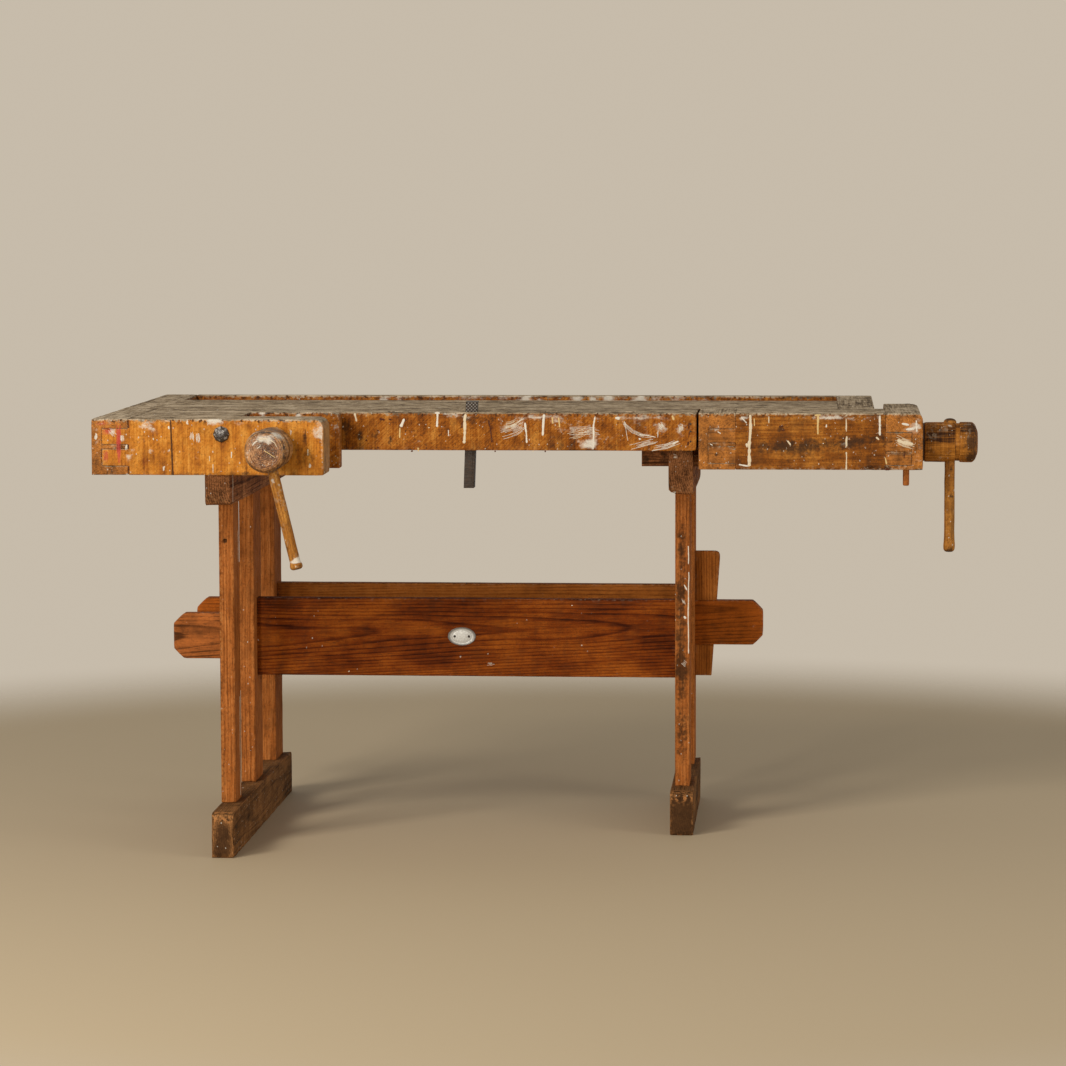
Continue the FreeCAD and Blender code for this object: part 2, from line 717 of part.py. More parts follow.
# Trestles

def tenons(name, place_x, front, depth):
    """The two tenons of a post, one into the foot and one into the bearer."""
    across = middle(f"{place_x} + post_width / 2", "tenon_thickness")
    along = (f"{front} + tenon_shoulder", f"{front} + {depth} - tenon_shoulder")
    foot = box(name + "_foot_tenon", across, along, ("foot_height - tenon_length", "foot_height"))
    top = box(name + "_top_tenon", across, along, ("bearer_bottom", "bearer_bottom + tenon_length"))
    return foot, top


def post_blank(name, place_x, front, depth):
    shank = box(name + "_shank", (place_x, f"{place_x} + post_width"), (front, f"{front} + {depth}"),
                ("foot_height", "bearer_bottom"))
    return fuse(name + "_tenoned", shank, *tenons(name, place_x, front, depth))


def foot_outline(front, back):
    """A foot seen from its side, with both upper ends bevelled."""
    return [(front, "0"), (back, "0"), (back, "foot_height - foot_bevel"),
            (f"{back} - foot_bevel", "foot_height"), (f"{front} + foot_bevel", "foot_height"),
            (front, "foot_height - foot_bevel")]


POSTS = {
    "left_front_post": ("left_foot_place", "front_post_front", "front_post_depth"),
    "left_middle_post": ("left_foot_place", "middle_post_front", "post_depth"),
    "left_rear_post": ("left_foot_place", "rear_post_front", "post_depth"),
    "right_front_post": ("right_post_place", "middle_post_front", "post_depth"),
    "right_rear_post": ("right_post_place", "rear_post_front", "post_depth"),
}


def mortises(side, name, level):
    """Mortise tools of one trestle's posts, for its foot (level 0) or its bearer (level 1)."""
    return [tenons(f"{name}_{post}", *spec)[level] for post, spec in POSTS.items() if post.startswith(side)]


def make_trestles():
    left_foot = prism("left_foot_blank", "YZ_Plane", foot_outline("left_foot_front", "left_foot_back"),
                      ("left_foot_place", "left_foot_place + left_foot_width"))
    node("left_foot", cut("left_foot", left_foot, *mortises("left", "left_foot", 0)))
    right_foot = prism("right_foot_blank", "YZ_Plane",
                       foot_outline("right_foot_front", "right_foot_front + right_foot_length"),
                       ("right_foot_x", "right_foot_x + right_foot_width"))
    node("right_foot", cut("right_foot", right_foot, *mortises("right", "right_foot", 0)))

    stub_holes = {
        "left_middle_post": stub_box("left_middle_post_mortise", "front_stretcher_y", LEFT_STUB),
        "left_rear_post": stub_box("left_rear_post_mortise", "rear_stretcher_y", LEFT_STUB),
        "right_front_post": stub_box("right_front_post_mortise", "front_stretcher_y", BLIND_STUB),
        "right_rear_post": stub_box("right_rear_post_mortise", "rear_stretcher_y", RIGHT_STUB),
    }
    for name, spec in POSTS.items():
        blank = post_blank(name, *spec)
        node(name, cut(name, blank, stub_holes[name]) if name in stub_holes else blank)

    low = "bearer_bottom"
    raised = "bearer_bottom + bearer_bevel"
    left = [("left_bearer_front", raised), ("left_bearer_front + bearer_bevel", low),
            ("bearer_back - bearer_bevel", low), ("bearer_back", raised), ("bearer_back", "slab_bottom"),
            ("apron_front", "slab_bottom"), ("apron_front", "arm_bottom"),
            ("left_bearer_front", "arm_bottom")]
    left_bearer = prism("left_bearer_blank", "YZ_Plane", left,
                        ("left_bearer_x", "left_bearer_x + bearer_width"))
    node("left_bearer", cut("left_bearer", left_bearer, *mortises("left", "left_bearer", 1),
                            *dowel_holes("left_bearer")))
    right = [("right_bearer_front", raised), ("right_bearer_front + bearer_bevel", low),
             ("bearer_back - bearer_bevel", low), ("bearer_back", raised), ("bearer_back", "slab_bottom"),
             ("right_bearer_front", "slab_bottom")]
    right_bearer = prism("right_bearer_blank", "YZ_Plane", right,
                         ("right_bearer_x", "right_bearer_x + bearer_width"))
    node("right_bearer", cut("right_bearer", right_bearer, *mortises("right", "right_bearer", 1),
                             *dowel_holes("right_bearer"), runner_way("right_bearer_way")))


# Stretchers and wedges

STUB_BOTTOM = "(stretcher_bottom + (stretcher_height - stub_height) / 2)"
STUB_TOP = f"({STUB_BOTTOM} + stub_height)"
LEFT_STUB = ("left_foot_place - stub_length", "left_post_right")
RIGHT_STUB = ("right_post_place", "right_post_right + stub_length")
BLIND_STUB = ("right_post_place", "right_post_place + blind_tenon")


def stub_box(name, front, span):
    """The passage of a stretcher's tenon through a post."""
    return box(name, span, (front, f"{front} + stretcher_thickness"), (STUB_BOTTOM, STUB_TOP))


def stretcher_outline(right_end, right_chamfer):
    """A stretcher seen from the front: the board with a chamfered stub at each end."""
    left_end = LEFT_STUB[0]
    top = "stretcher_bottom + stretcher_height"
    right = [("right_post_place", STUB_BOTTOM), (f"{right_end} - {right_chamfer}", STUB_BOTTOM)]
    right_tip = [(right_end, f"{STUB_BOTTOM} + {right_chamfer}"),
                 (right_end, f"{STUB_TOP} - {right_chamfer}")]
    if right_chamfer == "0":
        right_tip = [(right_end, STUB_TOP)]
    else:
        right_tip.append((f"{right_end} - {right_chamfer}", STUB_TOP))
    return [(left_end, f"{STUB_BOTTOM} + stub_chamfer"), (f"{left_end} + stub_chamfer", STUB_BOTTOM),
            ("left_post_right", STUB_BOTTOM), ("left_post_right", "stretcher_bottom"),
            ("right_post_place", "stretcher_bottom"), *right, *right_tip, ("right_post_place", STUB_TOP),
            ("right_post_place", top), ("left_post_right", top), ("left_post_right", STUB_TOP),
            (f"{left_end} + stub_chamfer", STUB_TOP), (left_end, f"{STUB_TOP} - stub_chamfer")]


def wedge(name, front, side):
    """A tapered key through a stub, flat against the post and narrower at its foot."""
    low = f"{STUB_BOTTOM} - wedge_drop"
    high = f"{low} + wedge_height"
    if side == "left":
        face = "left_foot_place"
        top, foot = f"{face} - left_wedge_top", f"{face} - left_wedge_bottom"
    else:
        face = "right_post_right"
        top, foot = f"{face} + right_wedge_top", f"{face} + right_wedge_bottom"
    start = f"{front} + (stretcher_thickness - wedge_thickness) / 2"
    points = [(face, low), (foot, low), (top, high), (face, high)]
    return prism(name, "XZ_Plane", points, (start, f"{start} + wedge_thickness"))


def make_stretchers():
    depth = {
        "front": ("front_stretcher_y", "front_stretcher_y + stretcher_thickness"),
        "rear": ("rear_stretcher_y", "rear_stretcher_y + stretcher_thickness"),
    }
    front = prism("front_stretcher_blank", "XZ_Plane", stretcher_outline(BLIND_STUB[1], "0"), depth["front"])
    front_slot = wedge("front_left_slot", "front_stretcher_y", "left")
    node("front_stretcher", cut("front_stretcher", front, front_slot))
    rear = prism("rear_stretcher_blank", "XZ_Plane", stretcher_outline(RIGHT_STUB[1], "stub_chamfer"),
                 depth["rear"])
    node("rear_stretcher", cut("rear_stretcher", rear, wedge("rear_left_slot", "rear_stretcher_y", "left"),
                               wedge("rear_right_slot", "rear_stretcher_y", "right")))
    for name, front_y, side in (("front_left_wedge", "front_stretcher_y", "left"),
                                ("rear_left_wedge", "rear_stretcher_y", "left"),
                                ("rear_right_wedge", "rear_stretcher_y", "right")):
        node(name, wedge(name, front_y, side))


# Plain oval plate on the front stretcher

def make_plate():
    plate_height = "stretcher_bottom + stretcher_height / 2 + plate_lift"
    face = "front_stretcher_y"
    oval = doc.addObject("Part::Ellipse", "plate_outline")
    oval.Placement = FreeCAD.Placement(FreeCAD.Vector(), FreeCAD.Rotation(X_AXIS, 90))
    bind(oval, "MajorRadius", "plate_width / 2")
    bind(oval, "MinorRadius", "plate_height / 2")
    put(oval, "plate_place", face, plate_height)
    plate = doc.addObject("Part::Extrusion", "plate_blank")
    plate.Base = oval
    plate.DirMode = "Custom"
    plate.Dir = FreeCAD.Vector(0, -1, 0)
    plate.Solid = True
    bind(plate, "LengthFwd", "plate_thickness")
    node("oval_plate", plate)

    nails = []
    for index, sign in enumerate("-+"):
        spot = (f"(plate_place {sign} plate_nail_spacing / 2)", plate_height)
        head_span = (f"{face} - plate_thickness - plate_nail_height", f"{face} - plate_thickness")
        nails.append(rod(f"plate_nail_{index}", "y", spot, head_span, "plate_nail_radius"))
    group = doc.addObject("Part::Compound", "plate_nails")
    group.Links = nails
    node("plate_nails", group)


def check_and_write():
    """Stop on any failed feature or bad solid, then write one file per piece."""
    doc.recompute()
    for obj in doc.Objects:
        if "Invalid" in obj.State or "Error" in obj.State:
            raise RuntimeError(f"{obj.Name} failed: {obj.State}")
    for obj in NODES:
        if obj.Shape.isNull() or not obj.Shape.isValid() or not obj.Shape.Solids:
            raise RuntimeError(f"{obj.Label} has no valid solid")
    os.makedirs("parts", exist_ok=True)
    for obj in NODES:
        obj.Shape.exportStep(f"parts/{obj.Label}.step")
        bounds = obj.Shape.BoundBox
        print(f"{obj.Label}: {len(obj.Shape.Solids)} solid, {obj.Shape.Volume / 1000:.1f} cm3, "
              f"X {bounds.XMin:.1f}..{bounds.XMax:.1f} Y {bounds.YMin:.1f}..{bounds.YMax:.1f} "
              f"Z {bounds.ZMin:.1f}..{bounds.ZMax:.1f}")


make_worktop()
make_arm()
make_front_vise()
make_tail_jaw()
make_tail_screw()
make_dog()
make_trestles()
make_stretchers()
make_plate()
check_and_write()
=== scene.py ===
import json
import math

import bpy
import numpy as np
from mathutils import Matrix, Vector

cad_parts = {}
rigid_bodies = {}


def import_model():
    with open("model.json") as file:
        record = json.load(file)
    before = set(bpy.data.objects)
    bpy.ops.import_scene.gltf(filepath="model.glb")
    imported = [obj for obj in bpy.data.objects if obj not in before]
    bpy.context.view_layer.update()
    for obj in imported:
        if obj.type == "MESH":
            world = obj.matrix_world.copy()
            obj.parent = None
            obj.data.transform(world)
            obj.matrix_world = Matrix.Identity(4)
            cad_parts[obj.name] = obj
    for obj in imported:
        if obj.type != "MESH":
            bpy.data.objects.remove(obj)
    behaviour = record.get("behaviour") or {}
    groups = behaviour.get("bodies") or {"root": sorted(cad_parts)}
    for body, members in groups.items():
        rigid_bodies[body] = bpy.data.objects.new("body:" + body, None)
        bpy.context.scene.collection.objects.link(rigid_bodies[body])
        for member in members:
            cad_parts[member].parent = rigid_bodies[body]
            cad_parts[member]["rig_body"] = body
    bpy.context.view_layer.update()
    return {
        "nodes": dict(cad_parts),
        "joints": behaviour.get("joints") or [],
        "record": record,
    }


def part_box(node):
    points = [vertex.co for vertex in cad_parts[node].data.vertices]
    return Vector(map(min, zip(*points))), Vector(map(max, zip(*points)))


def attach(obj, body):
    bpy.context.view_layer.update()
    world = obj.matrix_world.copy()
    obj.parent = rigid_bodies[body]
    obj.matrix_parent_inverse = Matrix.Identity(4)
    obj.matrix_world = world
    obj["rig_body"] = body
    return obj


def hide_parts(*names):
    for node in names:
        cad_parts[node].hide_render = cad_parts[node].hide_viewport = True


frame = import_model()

# An old joiner's bench: worn worktop, shoulder vise, tail vise and a wedged trestle base.
# Everything is in metres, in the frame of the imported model: X along the bench, Y to the back, Z up.

MM = 0.001
X, Y, Z = 0, 1, 2
AXES = np.eye(3)
TINY = 1e-12
NEAR = 1e-4

# The usual cell of a surface's grid, and how far from an edge the two nearest lines run.
CELL = 0.009
RIM = (0.0009, 0.0028)

# How a corner is cut: straight, softly bent or round.
BEVEL, BENT, ROUND = 1, 1.4, 2

# How far a cutting box goes past a face, how far joined boxes overlap, and the gap of a sliding fit.
PAST = 0.01
LAP = 0.02
SLIDE_GAP = 0.0005


# Numbers and surfaces

def lattice(ix, iy, iz, seed):
    """A steady number from 0 to 1 for each whole-number point, by mixing its bits."""
    mixed = (ix * 374761393 + iy * 668265263 + iz * 1440662683 + seed * 1274126177) & 0xFFFFFFFF
    mixed = ((mixed ^ (mixed >> 13)) * 1274126177) & 0xFFFFFFFF
    return (mixed ^ (mixed >> 16)) / 0xFFFFFFFF


def noise(points, scale, seed):
    """Smooth noise from 0 to 1: the eight lattice numbers round a point, mixed by smooth steps."""
    spot = points * scale + 500.0
    base = np.floor(spot).astype(np.int64)
    share = spot - base
    share = share * share * (3 - 2 * share)
    total = np.zeros(len(points))
    for corner in np.ndindex(2, 2, 2):
        weight = np.prod(np.where(corner, share, 1 - share), axis=1)
        total += weight * lattice(*(base + corner).T, seed)
    return total


def smooth_step(values, low, high):
    """From 0 at low to 1 at high, with no corner at either."""
    share = np.clip((values - low) / (high - low), 0, 1)
    return share * share * (3 - 2 * share)


class Surface:
    """Points and their faces: quads, and triangles round a pole or all over a bored piece."""

    def __init__(self, points, quads, tris=None):
        self.points = points
        self.quads = quads
        self.tris = np.zeros((0, 3), int) if tris is None else tris

    def gather(self, index, values):
        """Sum rows of values by the point that each belongs to."""
        count = len(self.points)
        return np.stack([np.bincount(index, values[:, axis], count) for axis in range(3)], 1)

    def normals(self):
        """Unit normals of the points: the sum of the unit normals of the faces around each."""
        total = np.zeros_like(self.points)
        for faces in (self.quads, self.tris):
            if len(faces):
                corners = [self.points[faces[:, k]] for k in range(faces.shape[1])]
                face = np.cross(corners[2] - corners[0], corners[-1] - corners[1])
                if faces.shape[1] == 3:
                    face = np.cross(corners[1] - corners[0], corners[2] - corners[0])
                face /= np.maximum(np.linalg.norm(face, axis=1, keepdims=True), TINY)
                total += self.gather(faces.ravel(), np.repeat(face, faces.shape[1], axis=0))
        return total / np.maximum(np.linalg.norm(total, axis=1, keepdims=True), TINY)


def joined(*surfaces):
    """Several surfaces as one."""
    starts = np.cumsum([0] + [len(s.points) for s in surfaces])
    return Surface(np.concatenate([s.points for s in surfaces]),
                   np.concatenate([s.quads + start for s, start in zip(surfaces, starts)]),
                   np.concatenate([s.tris + start for s, start in zip(surfaces, starts)]))


def grid_lines(stops, cell, rim):
    """Lines along one axis: every stop, two lines close beside it, and even steps between."""
    lines = []
    for low, high in zip(stops[:-1], stops[1:]):
        if high - low < 4 * rim[1]:
            lines.append(np.linspace(low, high, 3)[:-1])
            continue
        count = max(2, math.ceil((high - low - 2 * rim[1]) / cell) + 1)
        inner = np.linspace(low + rim[1], high - rim[1], count)
        lines.append(np.concatenate([[low, low + rim[0]], inner, [high - rim[0]]]))
    return np.concatenate([*lines, [stops[-1]]])


def boxes(adds, cuts=(), cell=CELL, rim=RIM, extra=()):
    """Closed surface of boxes joined together and cut by others, on a grid of planes.

    The planes are the boxes' own faces, lines beside them and even steps between, and along X the extra
    ones. A cell is wood if its middle is in an added box and in no cut, and the surface is every cell side
    between wood and air.
    """
    adds = np.array(adds, float)
    every = np.concatenate([adds, np.array(cuts, float).reshape(-1, 2, 3)])
    low, high = adds[:, 0].min(0), adds[:, 1].max(0)
    lines = []
    for axis in range(3):
        stops = np.unique(np.round(np.clip(every[:, :, axis], low[axis], high[axis]), 5))
        lines.append(grid_lines(stops, cell, rim))
    lines[X] = np.unique(np.round(np.concatenate([lines[X], extra]), 5))
    middles = [(line[1:] + line[:-1]) / 2 for line in lines]

    def cells_in(box):
        hit = [(m > box[0][axis]) & (m < box[1][axis]) for axis, m in enumerate(middles)]
        return hit[0][:, None, None] & hit[1][None, :, None] & hit[2][None, None, :]

    filled = np.zeros([len(m) for m in middles], bool)
    for box in adds:
        filled |= cells_in(box)
    for box in cuts:
        filled &= ~cells_in(box)
    padded = np.pad(filled, 1)
    counts = [len(line) for line in lines]
    quads = []
    for axis in range(3):
        order = (axis, (axis + 1) % 3, (axis + 2) % 3)
        turned_round = np.moveaxis(padded, order, (0, 1, 2))[:, 1:-1, 1:-1]
        before, after = turned_round[:-1], turned_round[1:]
        for faces, corners in ((before & ~after, ((0, 0), (1, 0), (1, 1), (0, 1))),
                               (after & ~before, ((0, 0), (0, 1), (1, 1), (1, 0)))):
            i, j, k = np.nonzero(faces)
            ids = []
            for step_j, step_k in corners:
                place = [None] * 3
                place[order[0]], place[order[1]], place[order[2]] = i, j + step_j, k + step_k
                ids.append((place[0] * counts[1] + place[1]) * counts[2] + place[2])
            quads.append(np.stack(ids, 1))
    used, quads = np.unique(np.concatenate(quads), return_inverse=True)
    points = np.stack([lines[0][used // (counts[1] * counts[2])],
                       lines[1][used // counts[2] % counts[1]],
                       lines[2][used % counts[2]]], 1)
    return Surface(points, quads.reshape(-1, 4))


def cut_corner(surface, box, at, size, power):
    """Pull a square corner of a box in, seen along the third axis: straight, bent or round by its power.

    at names the two axes, each with 1 for the box's high face or -1 for its low one. With p and q the shares
    of the corner's size, from its inner point, a point at (p, q) moves to where the larger of the two equals
    the power sum of both.
    """
    axes, sides = list(at), np.array(list(at.values()))
    inner = np.array([box[side > 0][axis] - side * size for axis, side in at.items()])
    offset = surface.points[:, axes] - inner
    p, q = (offset * sides / size).T
    near = (p > 0) & (q > 0)
    p, q = p[near], q[near]
    pull = np.maximum(p, q) / (p ** power + q ** power) ** (1 / power)
    surface.points[np.ix_(near, axes)] = inner + offset[near] * pull[:, None]


def wear(surface, strength, seed, chips=0.0, passes=4):
    """Wear the arrises: each point sinks along its normal towards the mean of its neighbours.

    Neighbours count by their nearness, noise makes the wear uneven, and chips deepens it in places.
    Returns how worn each point is, from 0 to 1.
    """
    normals = surface.normals()
    first = surface.points.copy()
    uneven = strength * (0.35 + 0.9 * noise(first, 28, seed))
    start = surface.quads.ravel()
    end = np.roll(surface.quads, -1, axis=1).ravel()
    for _ in range(passes):
        step = surface.points[end] - surface.points[start]
        length = np.maximum(np.linalg.norm(step, axis=1), TINY)
        weight = np.bincount(start, 1 / length, len(first))
        pull = surface.gather(start, step / length[:, None]) / weight[:, None]
        sink = np.minimum(np.sum(pull * normals, axis=1), 0) * uneven
        surface.points = surface.points + normals * sink[:, None]
    worn = np.clip(np.linalg.norm(surface.points - first, axis=1) / RIM[0], 0, 1)
    if chips:
        bites = smooth_step(noise(first, 75, seed + 1) * 0.6 + noise(first, 23, seed + 2) * 0.4, 0.56, 0.74)
        surface.points = surface.points - normals * (chips * bites * smooth_step(worn, 0.1, 0.7))[:, None]
    return worn


def soften(profile, reach):
    """Round the corners of an open line: each inner corner becomes a short curve of five points."""
    points = np.array(profile, float)
    line = [points[:1]]
    share = np.linspace(0, 1, 5)[:, None]
    for before, corner, after in zip(points[:-2], points[1:-1], points[2:]):
        back, on = before - corner, after - corner
        back_length, on_length = np.linalg.norm(back), np.linalg.norm(on)
        near = min(reach, 0.45 * back_length, 0.45 * on_length)
        a, b = corner + back / back_length * near, corner + on / on_length * near
        line.append((1 - share) ** 2 * a + 2 * share * (1 - share) * corner + share ** 2 * b)
    return np.concatenate([*line, points[-1:]])


def divide(line, step):
    """The same line with points no further than a step apart."""
    runs = np.linalg.norm(np.diff(line, axis=0), axis=1)
    place = np.concatenate([[0], np.cumsum(runs)])
    spots = [np.linspace(a, b, max(2, math.ceil((b - a) / step) + 1))[:-1]
             for a, b in zip(place, place[1:])]
    spots = np.concatenate([*spots, place[-1:]])
    return np.stack([np.interp(spots, place, line[:, axis]) for axis in range(2)], 1)


def frame_along(direction):
    """Three unit vectors: one along a direction and two square to it."""
    along = np.array(direction, float)
    along /= np.linalg.norm(along)
    side = np.cross(along, (0, 0, 1) if abs(along[2]) < 0.9 else (1, 0, 0))
    side /= np.linalg.norm(side)
    return along, side, np.cross(along, side)


def turned(profile, centre, direction, sides, reach, step=0.006, shape=None):
    """A turned piece: a profile of (distance along the axis, radius) carried round the axis.

    A flat face closes an end of the profile that lies off the axis. shape, where given, makes the radius
    depend on the angle: it takes the distances, the radii and the angles as arrays and returns the radii.
    """
    first, last = profile[0], profile[-1]
    if first[1]:
        profile = [(first[0], 0), *profile]
    if last[1]:
        profile = [*profile, (last[0], 0)]
    line = divide(soften(profile, reach), step)[1:-1]
    angle = np.linspace(0, 2 * math.pi, sides, endpoint=False)
    distance, radius, turn = np.broadcast_arrays(line[:, :1], line[:, 1:], angle)
    radius = radius if shape is None else shape(distance, radius, turn)
    along, side, up = frame_along(direction)
    points = (np.array(centre) + distance[..., None] * along + (radius * np.cos(turn))[..., None] * side
              + (radius * np.sin(turn))[..., None] * up)
    return closed_tube(points, np.array(centre) + first[0] * along, np.array(centre) + last[0] * along)


def closed_tube(rings, first_pole, last_pole):
    """A surface from rings of points, one row each, closed at both ends by a pole."""
    rows, sides = rings.shape[:2]
    ids = np.arange(rows * sides).reshape(rows, sides)
    after = np.roll(ids, -1, axis=1)
    quads = np.stack([ids[:-1], after[:-1], after[1:], ids[1:]], -1).reshape(-1, 4)
    first, last = rows * sides, rows * sides + 1
    tris = np.concatenate([
        np.stack([np.full(sides, first), after[0], ids[0]], 1),
        np.stack([np.full(sides, last), ids[-1], after[-1]], 1),
    ])
    points = np.concatenate([rings.reshape(-1, 3), [first_pole, last_pole]])
    return outward(Surface(points, quads, tris))


def outward(surface):
    """Turn a closed surface's faces to point outwards, by the sign of the volume that it holds."""
    a, b, c, d = (surface.points[surface.quads[:, k]] for k in range(4))
    volume = np.sum(np.cross(a, b) * c) + np.sum(np.cross(a, c) * d)
    e, f, g = (surface.points[surface.tris[:, k]] for k in range(3))
    volume += np.sum(np.cross(e, f) * g)
    if volume < 0:
        surface.quads = surface.quads[:, ::-1]
        surface.tris = surface.tris[:, ::-1]
    return surface


# Wood coordinates and marks

# How far apart along the grain the wood of two pieces is taken from.
GRAIN_SHIFT = 3.7


def grain_of(points, along, heart, lean, seed):
    """Wood coordinates: distance along the grain, then the two distances from the tree's heart.

    heart is measured from the middle of the piece, in the two axes after the grain's, and may lean.
    """
    middle = (points.min(0) + points.max(0)) / 2
    run = points[:, along] - middle[along]
    parts = [run + GRAIN_SHIFT * seed]
    for k in range(2):
        axis = (along + 1 + k) % 3
        parts.append(points[:, axis] - middle[axis] - heart[k] - lean[k] * run)
    return np.stack(parts, 1)


def dabs(points, normals, spots):
    """How much of a mark lies on each point of a front face: a sum of soft oval spots, in millimetres."""
    total = np.zeros(len(points))
    x, z = points[:, X] / MM, points[:, Z] / MM
    for spot_x, spot_z, reach_x, reach_z, amount in spots:
        total += amount * np.exp(-((x - spot_x) / reach_x) ** 2 - ((z - spot_z) / reach_z) ** 2)
    return total * smooth_step(-normals[:, Y], 0.2, 0.7)


def ring_marks(points, centre, spots):
    """How much of a mark lies on each point of a turned piece: soft spots of (place, reach, amount)."""
    total = np.zeros(len(points))
    for place, reach, amount in spots:
        gap = np.linalg.norm(points - (np.array(centre) + place), axis=1)
        total += amount * np.exp(-(gap / reach) ** 2)
    return total


# Shader helpers

class Value:
    """An output of a shader node: sums, differences and products of it add further nodes."""

    def __init__(self, nodes, socket):
        self.nodes = nodes
        self.socket = socket

    def other(self, key):
        """Another output of the same node."""
        return Value(self.nodes, self.socket.node.outputs[key])

    def __add__(self, more):
        return self.nodes.calc("ADD", self, more)

    def __sub__(self, less):
        return self.nodes.calc("SUBTRACT", self, less)

    def __mul__(self, factor):
        return self.nodes.calc("MULTIPLY", self, factor)

    def at_least(self, least):
        return self.nodes.calc("MAXIMUM", self, least)

    def swing(self, amount):
        """The value as a swing about zero: its distance from a half, times an amount."""
        return (self - 0.5) * amount


class Nodes:
    """A node tree under construction: short calls that add nodes and return their outputs."""

    def __init__(self, tree):
        self.tree = tree
        tree.nodes.clear()

    def add(self, kind, inputs, output=0, **settings):
        """A new node: values are linked, and plain numbers go straight onto its sockets."""
        node = self.tree.nodes.new(kind)
        for key, value in settings.items():
            setattr(node, key, value)
        for key, value in inputs.items():
            socket = node.inputs[key]
            if isinstance(value, Value):
                self.tree.links.new(value.socket, socket)
            else:
                socket.default_value = (*value, 1.0) if socket.type == "RGBA" else value
        return Value(self, node.outputs[output]) if node.outputs else None

    def calc(self, operation, a, b=0.0):
        return self.add("ShaderNodeMath", {0: a, 1: b}, operation=operation)


# Sockets of the mixing node that carry colours.
COLOUR_A, COLOUR_B, COLOUR_OUT = 6, 7, 2


class Finish(Nodes):
    """A material under construction."""

    def __init__(self, name):
        self.material = bpy.data.materials.new(name)
        self.material.use_nodes = True
        super().__init__(self.material.node_tree)

    def attribute(self, name):
        return self.add("ShaderNodeAttribute", {}, "Vector", attribute_name=name)

    def place(self):
        return self.add("ShaderNodeTexCoord", {}, "Object")

    def split(self, vector):
        first = self.add("ShaderNodeSeparateXYZ", {0: vector})
        return first, first.other(1), first.other(2)

    def stretch(self, vector, factors):
        return self.add("ShaderNodeVectorMath", {0: vector, 1: factors}, operation="MULTIPLY")

    def length(self, vector):
        return self.add("ShaderNodeVectorMath", {0: vector}, "Value", operation="LENGTH")

    def noise(self, vector, scale, detail=2.0, roughness=0.5):
        """Noise with a scale of its own along each axis."""
        return self.add("ShaderNodeTexNoise", {"Vector": self.stretch(vector, scale), "Scale": 1.0,
                                               "Detail": detail, "Roughness": roughness})

    def step(self, value, low, high, to_low=0.0, to_high=1.0):
        """A smooth step of a value from one range to another."""
        return self.add("ShaderNodeMapRange", {"Value": value, "From Min": low, "From Max": high,
                                               "To Min": to_low, "To Max": to_high},
                        interpolation_type="SMOOTHSTEP")

    def mix(self, share, a, b):
        """One colour over another, by a share."""
        return self.add("ShaderNodeMix", {0: share, COLOUR_A: a, COLOUR_B: b}, COLOUR_OUT, data_type="RGBA")

    def ramp(self, value, stops):
        """A value turned into a colour, through stops of (place, colour)."""
        made = self.add("ShaderNodeValToRGB", {0: value})
        elements = made.socket.node.color_ramp.elements
        while len(elements) < len(stops):
            elements.new(0.5)
        for element, (place, tone) in zip(elements, stops):
            element.position = place
            element.color = (*tone, 1.0)
        return made

    def specks(self, vector, scale, density, least, most):
        """Scattered spots: cells of a Voronoi pattern, a share of which hold a spot of random size."""
        vector = self.stretch(vector, scale)
        torn = self.add("ShaderNodeTexNoise", {"Vector": vector, "Scale": 2.6, "Detail": 2.0}, "Color")
        ragged = self.add("ShaderNodeVectorMath", {0: vector, 1: self.stretch(torn, (0.7, 0.7, 0.7))},
                          operation="ADD")
        gap = self.add("ShaderNodeTexVoronoi", {"Vector": ragged, "Scale": 1.0}, "Distance")
        chance, size, _ = self.split(gap.other("Color"))
        radius = self.calc("POWER", size, 2.0) * (most - least) + least
        return self.step(radius - gap, 0.0, 0.06) * self.step(chance, 1 - density, 1.02 - density)

    def done(self, tone, roughness, height, distance, strength, **fixed):
        """Close the material with a shader whose normal follows a height; fixed names further inputs."""
        bump = self.add("ShaderNodeBump", {"Height": height, "Distance": distance, "Strength": strength})
        inputs = {"Base Color": tone, "Roughness": roughness, "Normal": bump}
        inputs.update({key.replace("_", " "): value for key, value in fixed.items()})
        self.add("ShaderNodeOutputMaterial", {"Surface": self.add("ShaderNodeBsdfPrincipled", inputs)})
        return self.material


def shade(tone, share):
    """The same colour, lighter or darker by a share."""
    return tuple(share * part for part in tone)


# Finishes

# The tints of dried paint, as one number each, and their colours; the dark tint also draws lines of painted
# shade.
WHITE, IVORY, CREAM, RED, DARK = 0.0, 0.2, 0.45, 0.75, 1.0
PAINT_WHITE = (0.66, 0.60, 0.49)
PAINT_CREAM = (0.62, 0.43, 0.18)
PAINT_RED = (0.45, 0.055, 0.04)
PAINT_DARK_AND_SHADE = (0.075, 0.018, 0.005)
DIRT = (0.035, 0.016, 0.007)
SPLINTER = (0.46, 0.38, 0.28)
GREY_TOP = [(0.1, (0.54, 0.42, 0.28)), (0.5, (0.31, 0.222, 0.13)), (0.95, (0.07, 0.046, 0.026))]
LATE_WOOD = [(0.0, (0.1, 0.1, 0.1)), (0.55, (0.16, 0.16, 0.16)), (0.88, (1, 1, 1)), (1.0, (0.1, 0.1, 0.1))]
TONE_STOPS = (0.05, 0.5, 1.0)
END_SHARES = (1.5, 1.0, 0.25)
SCRATCH_ANGLE = 0.75


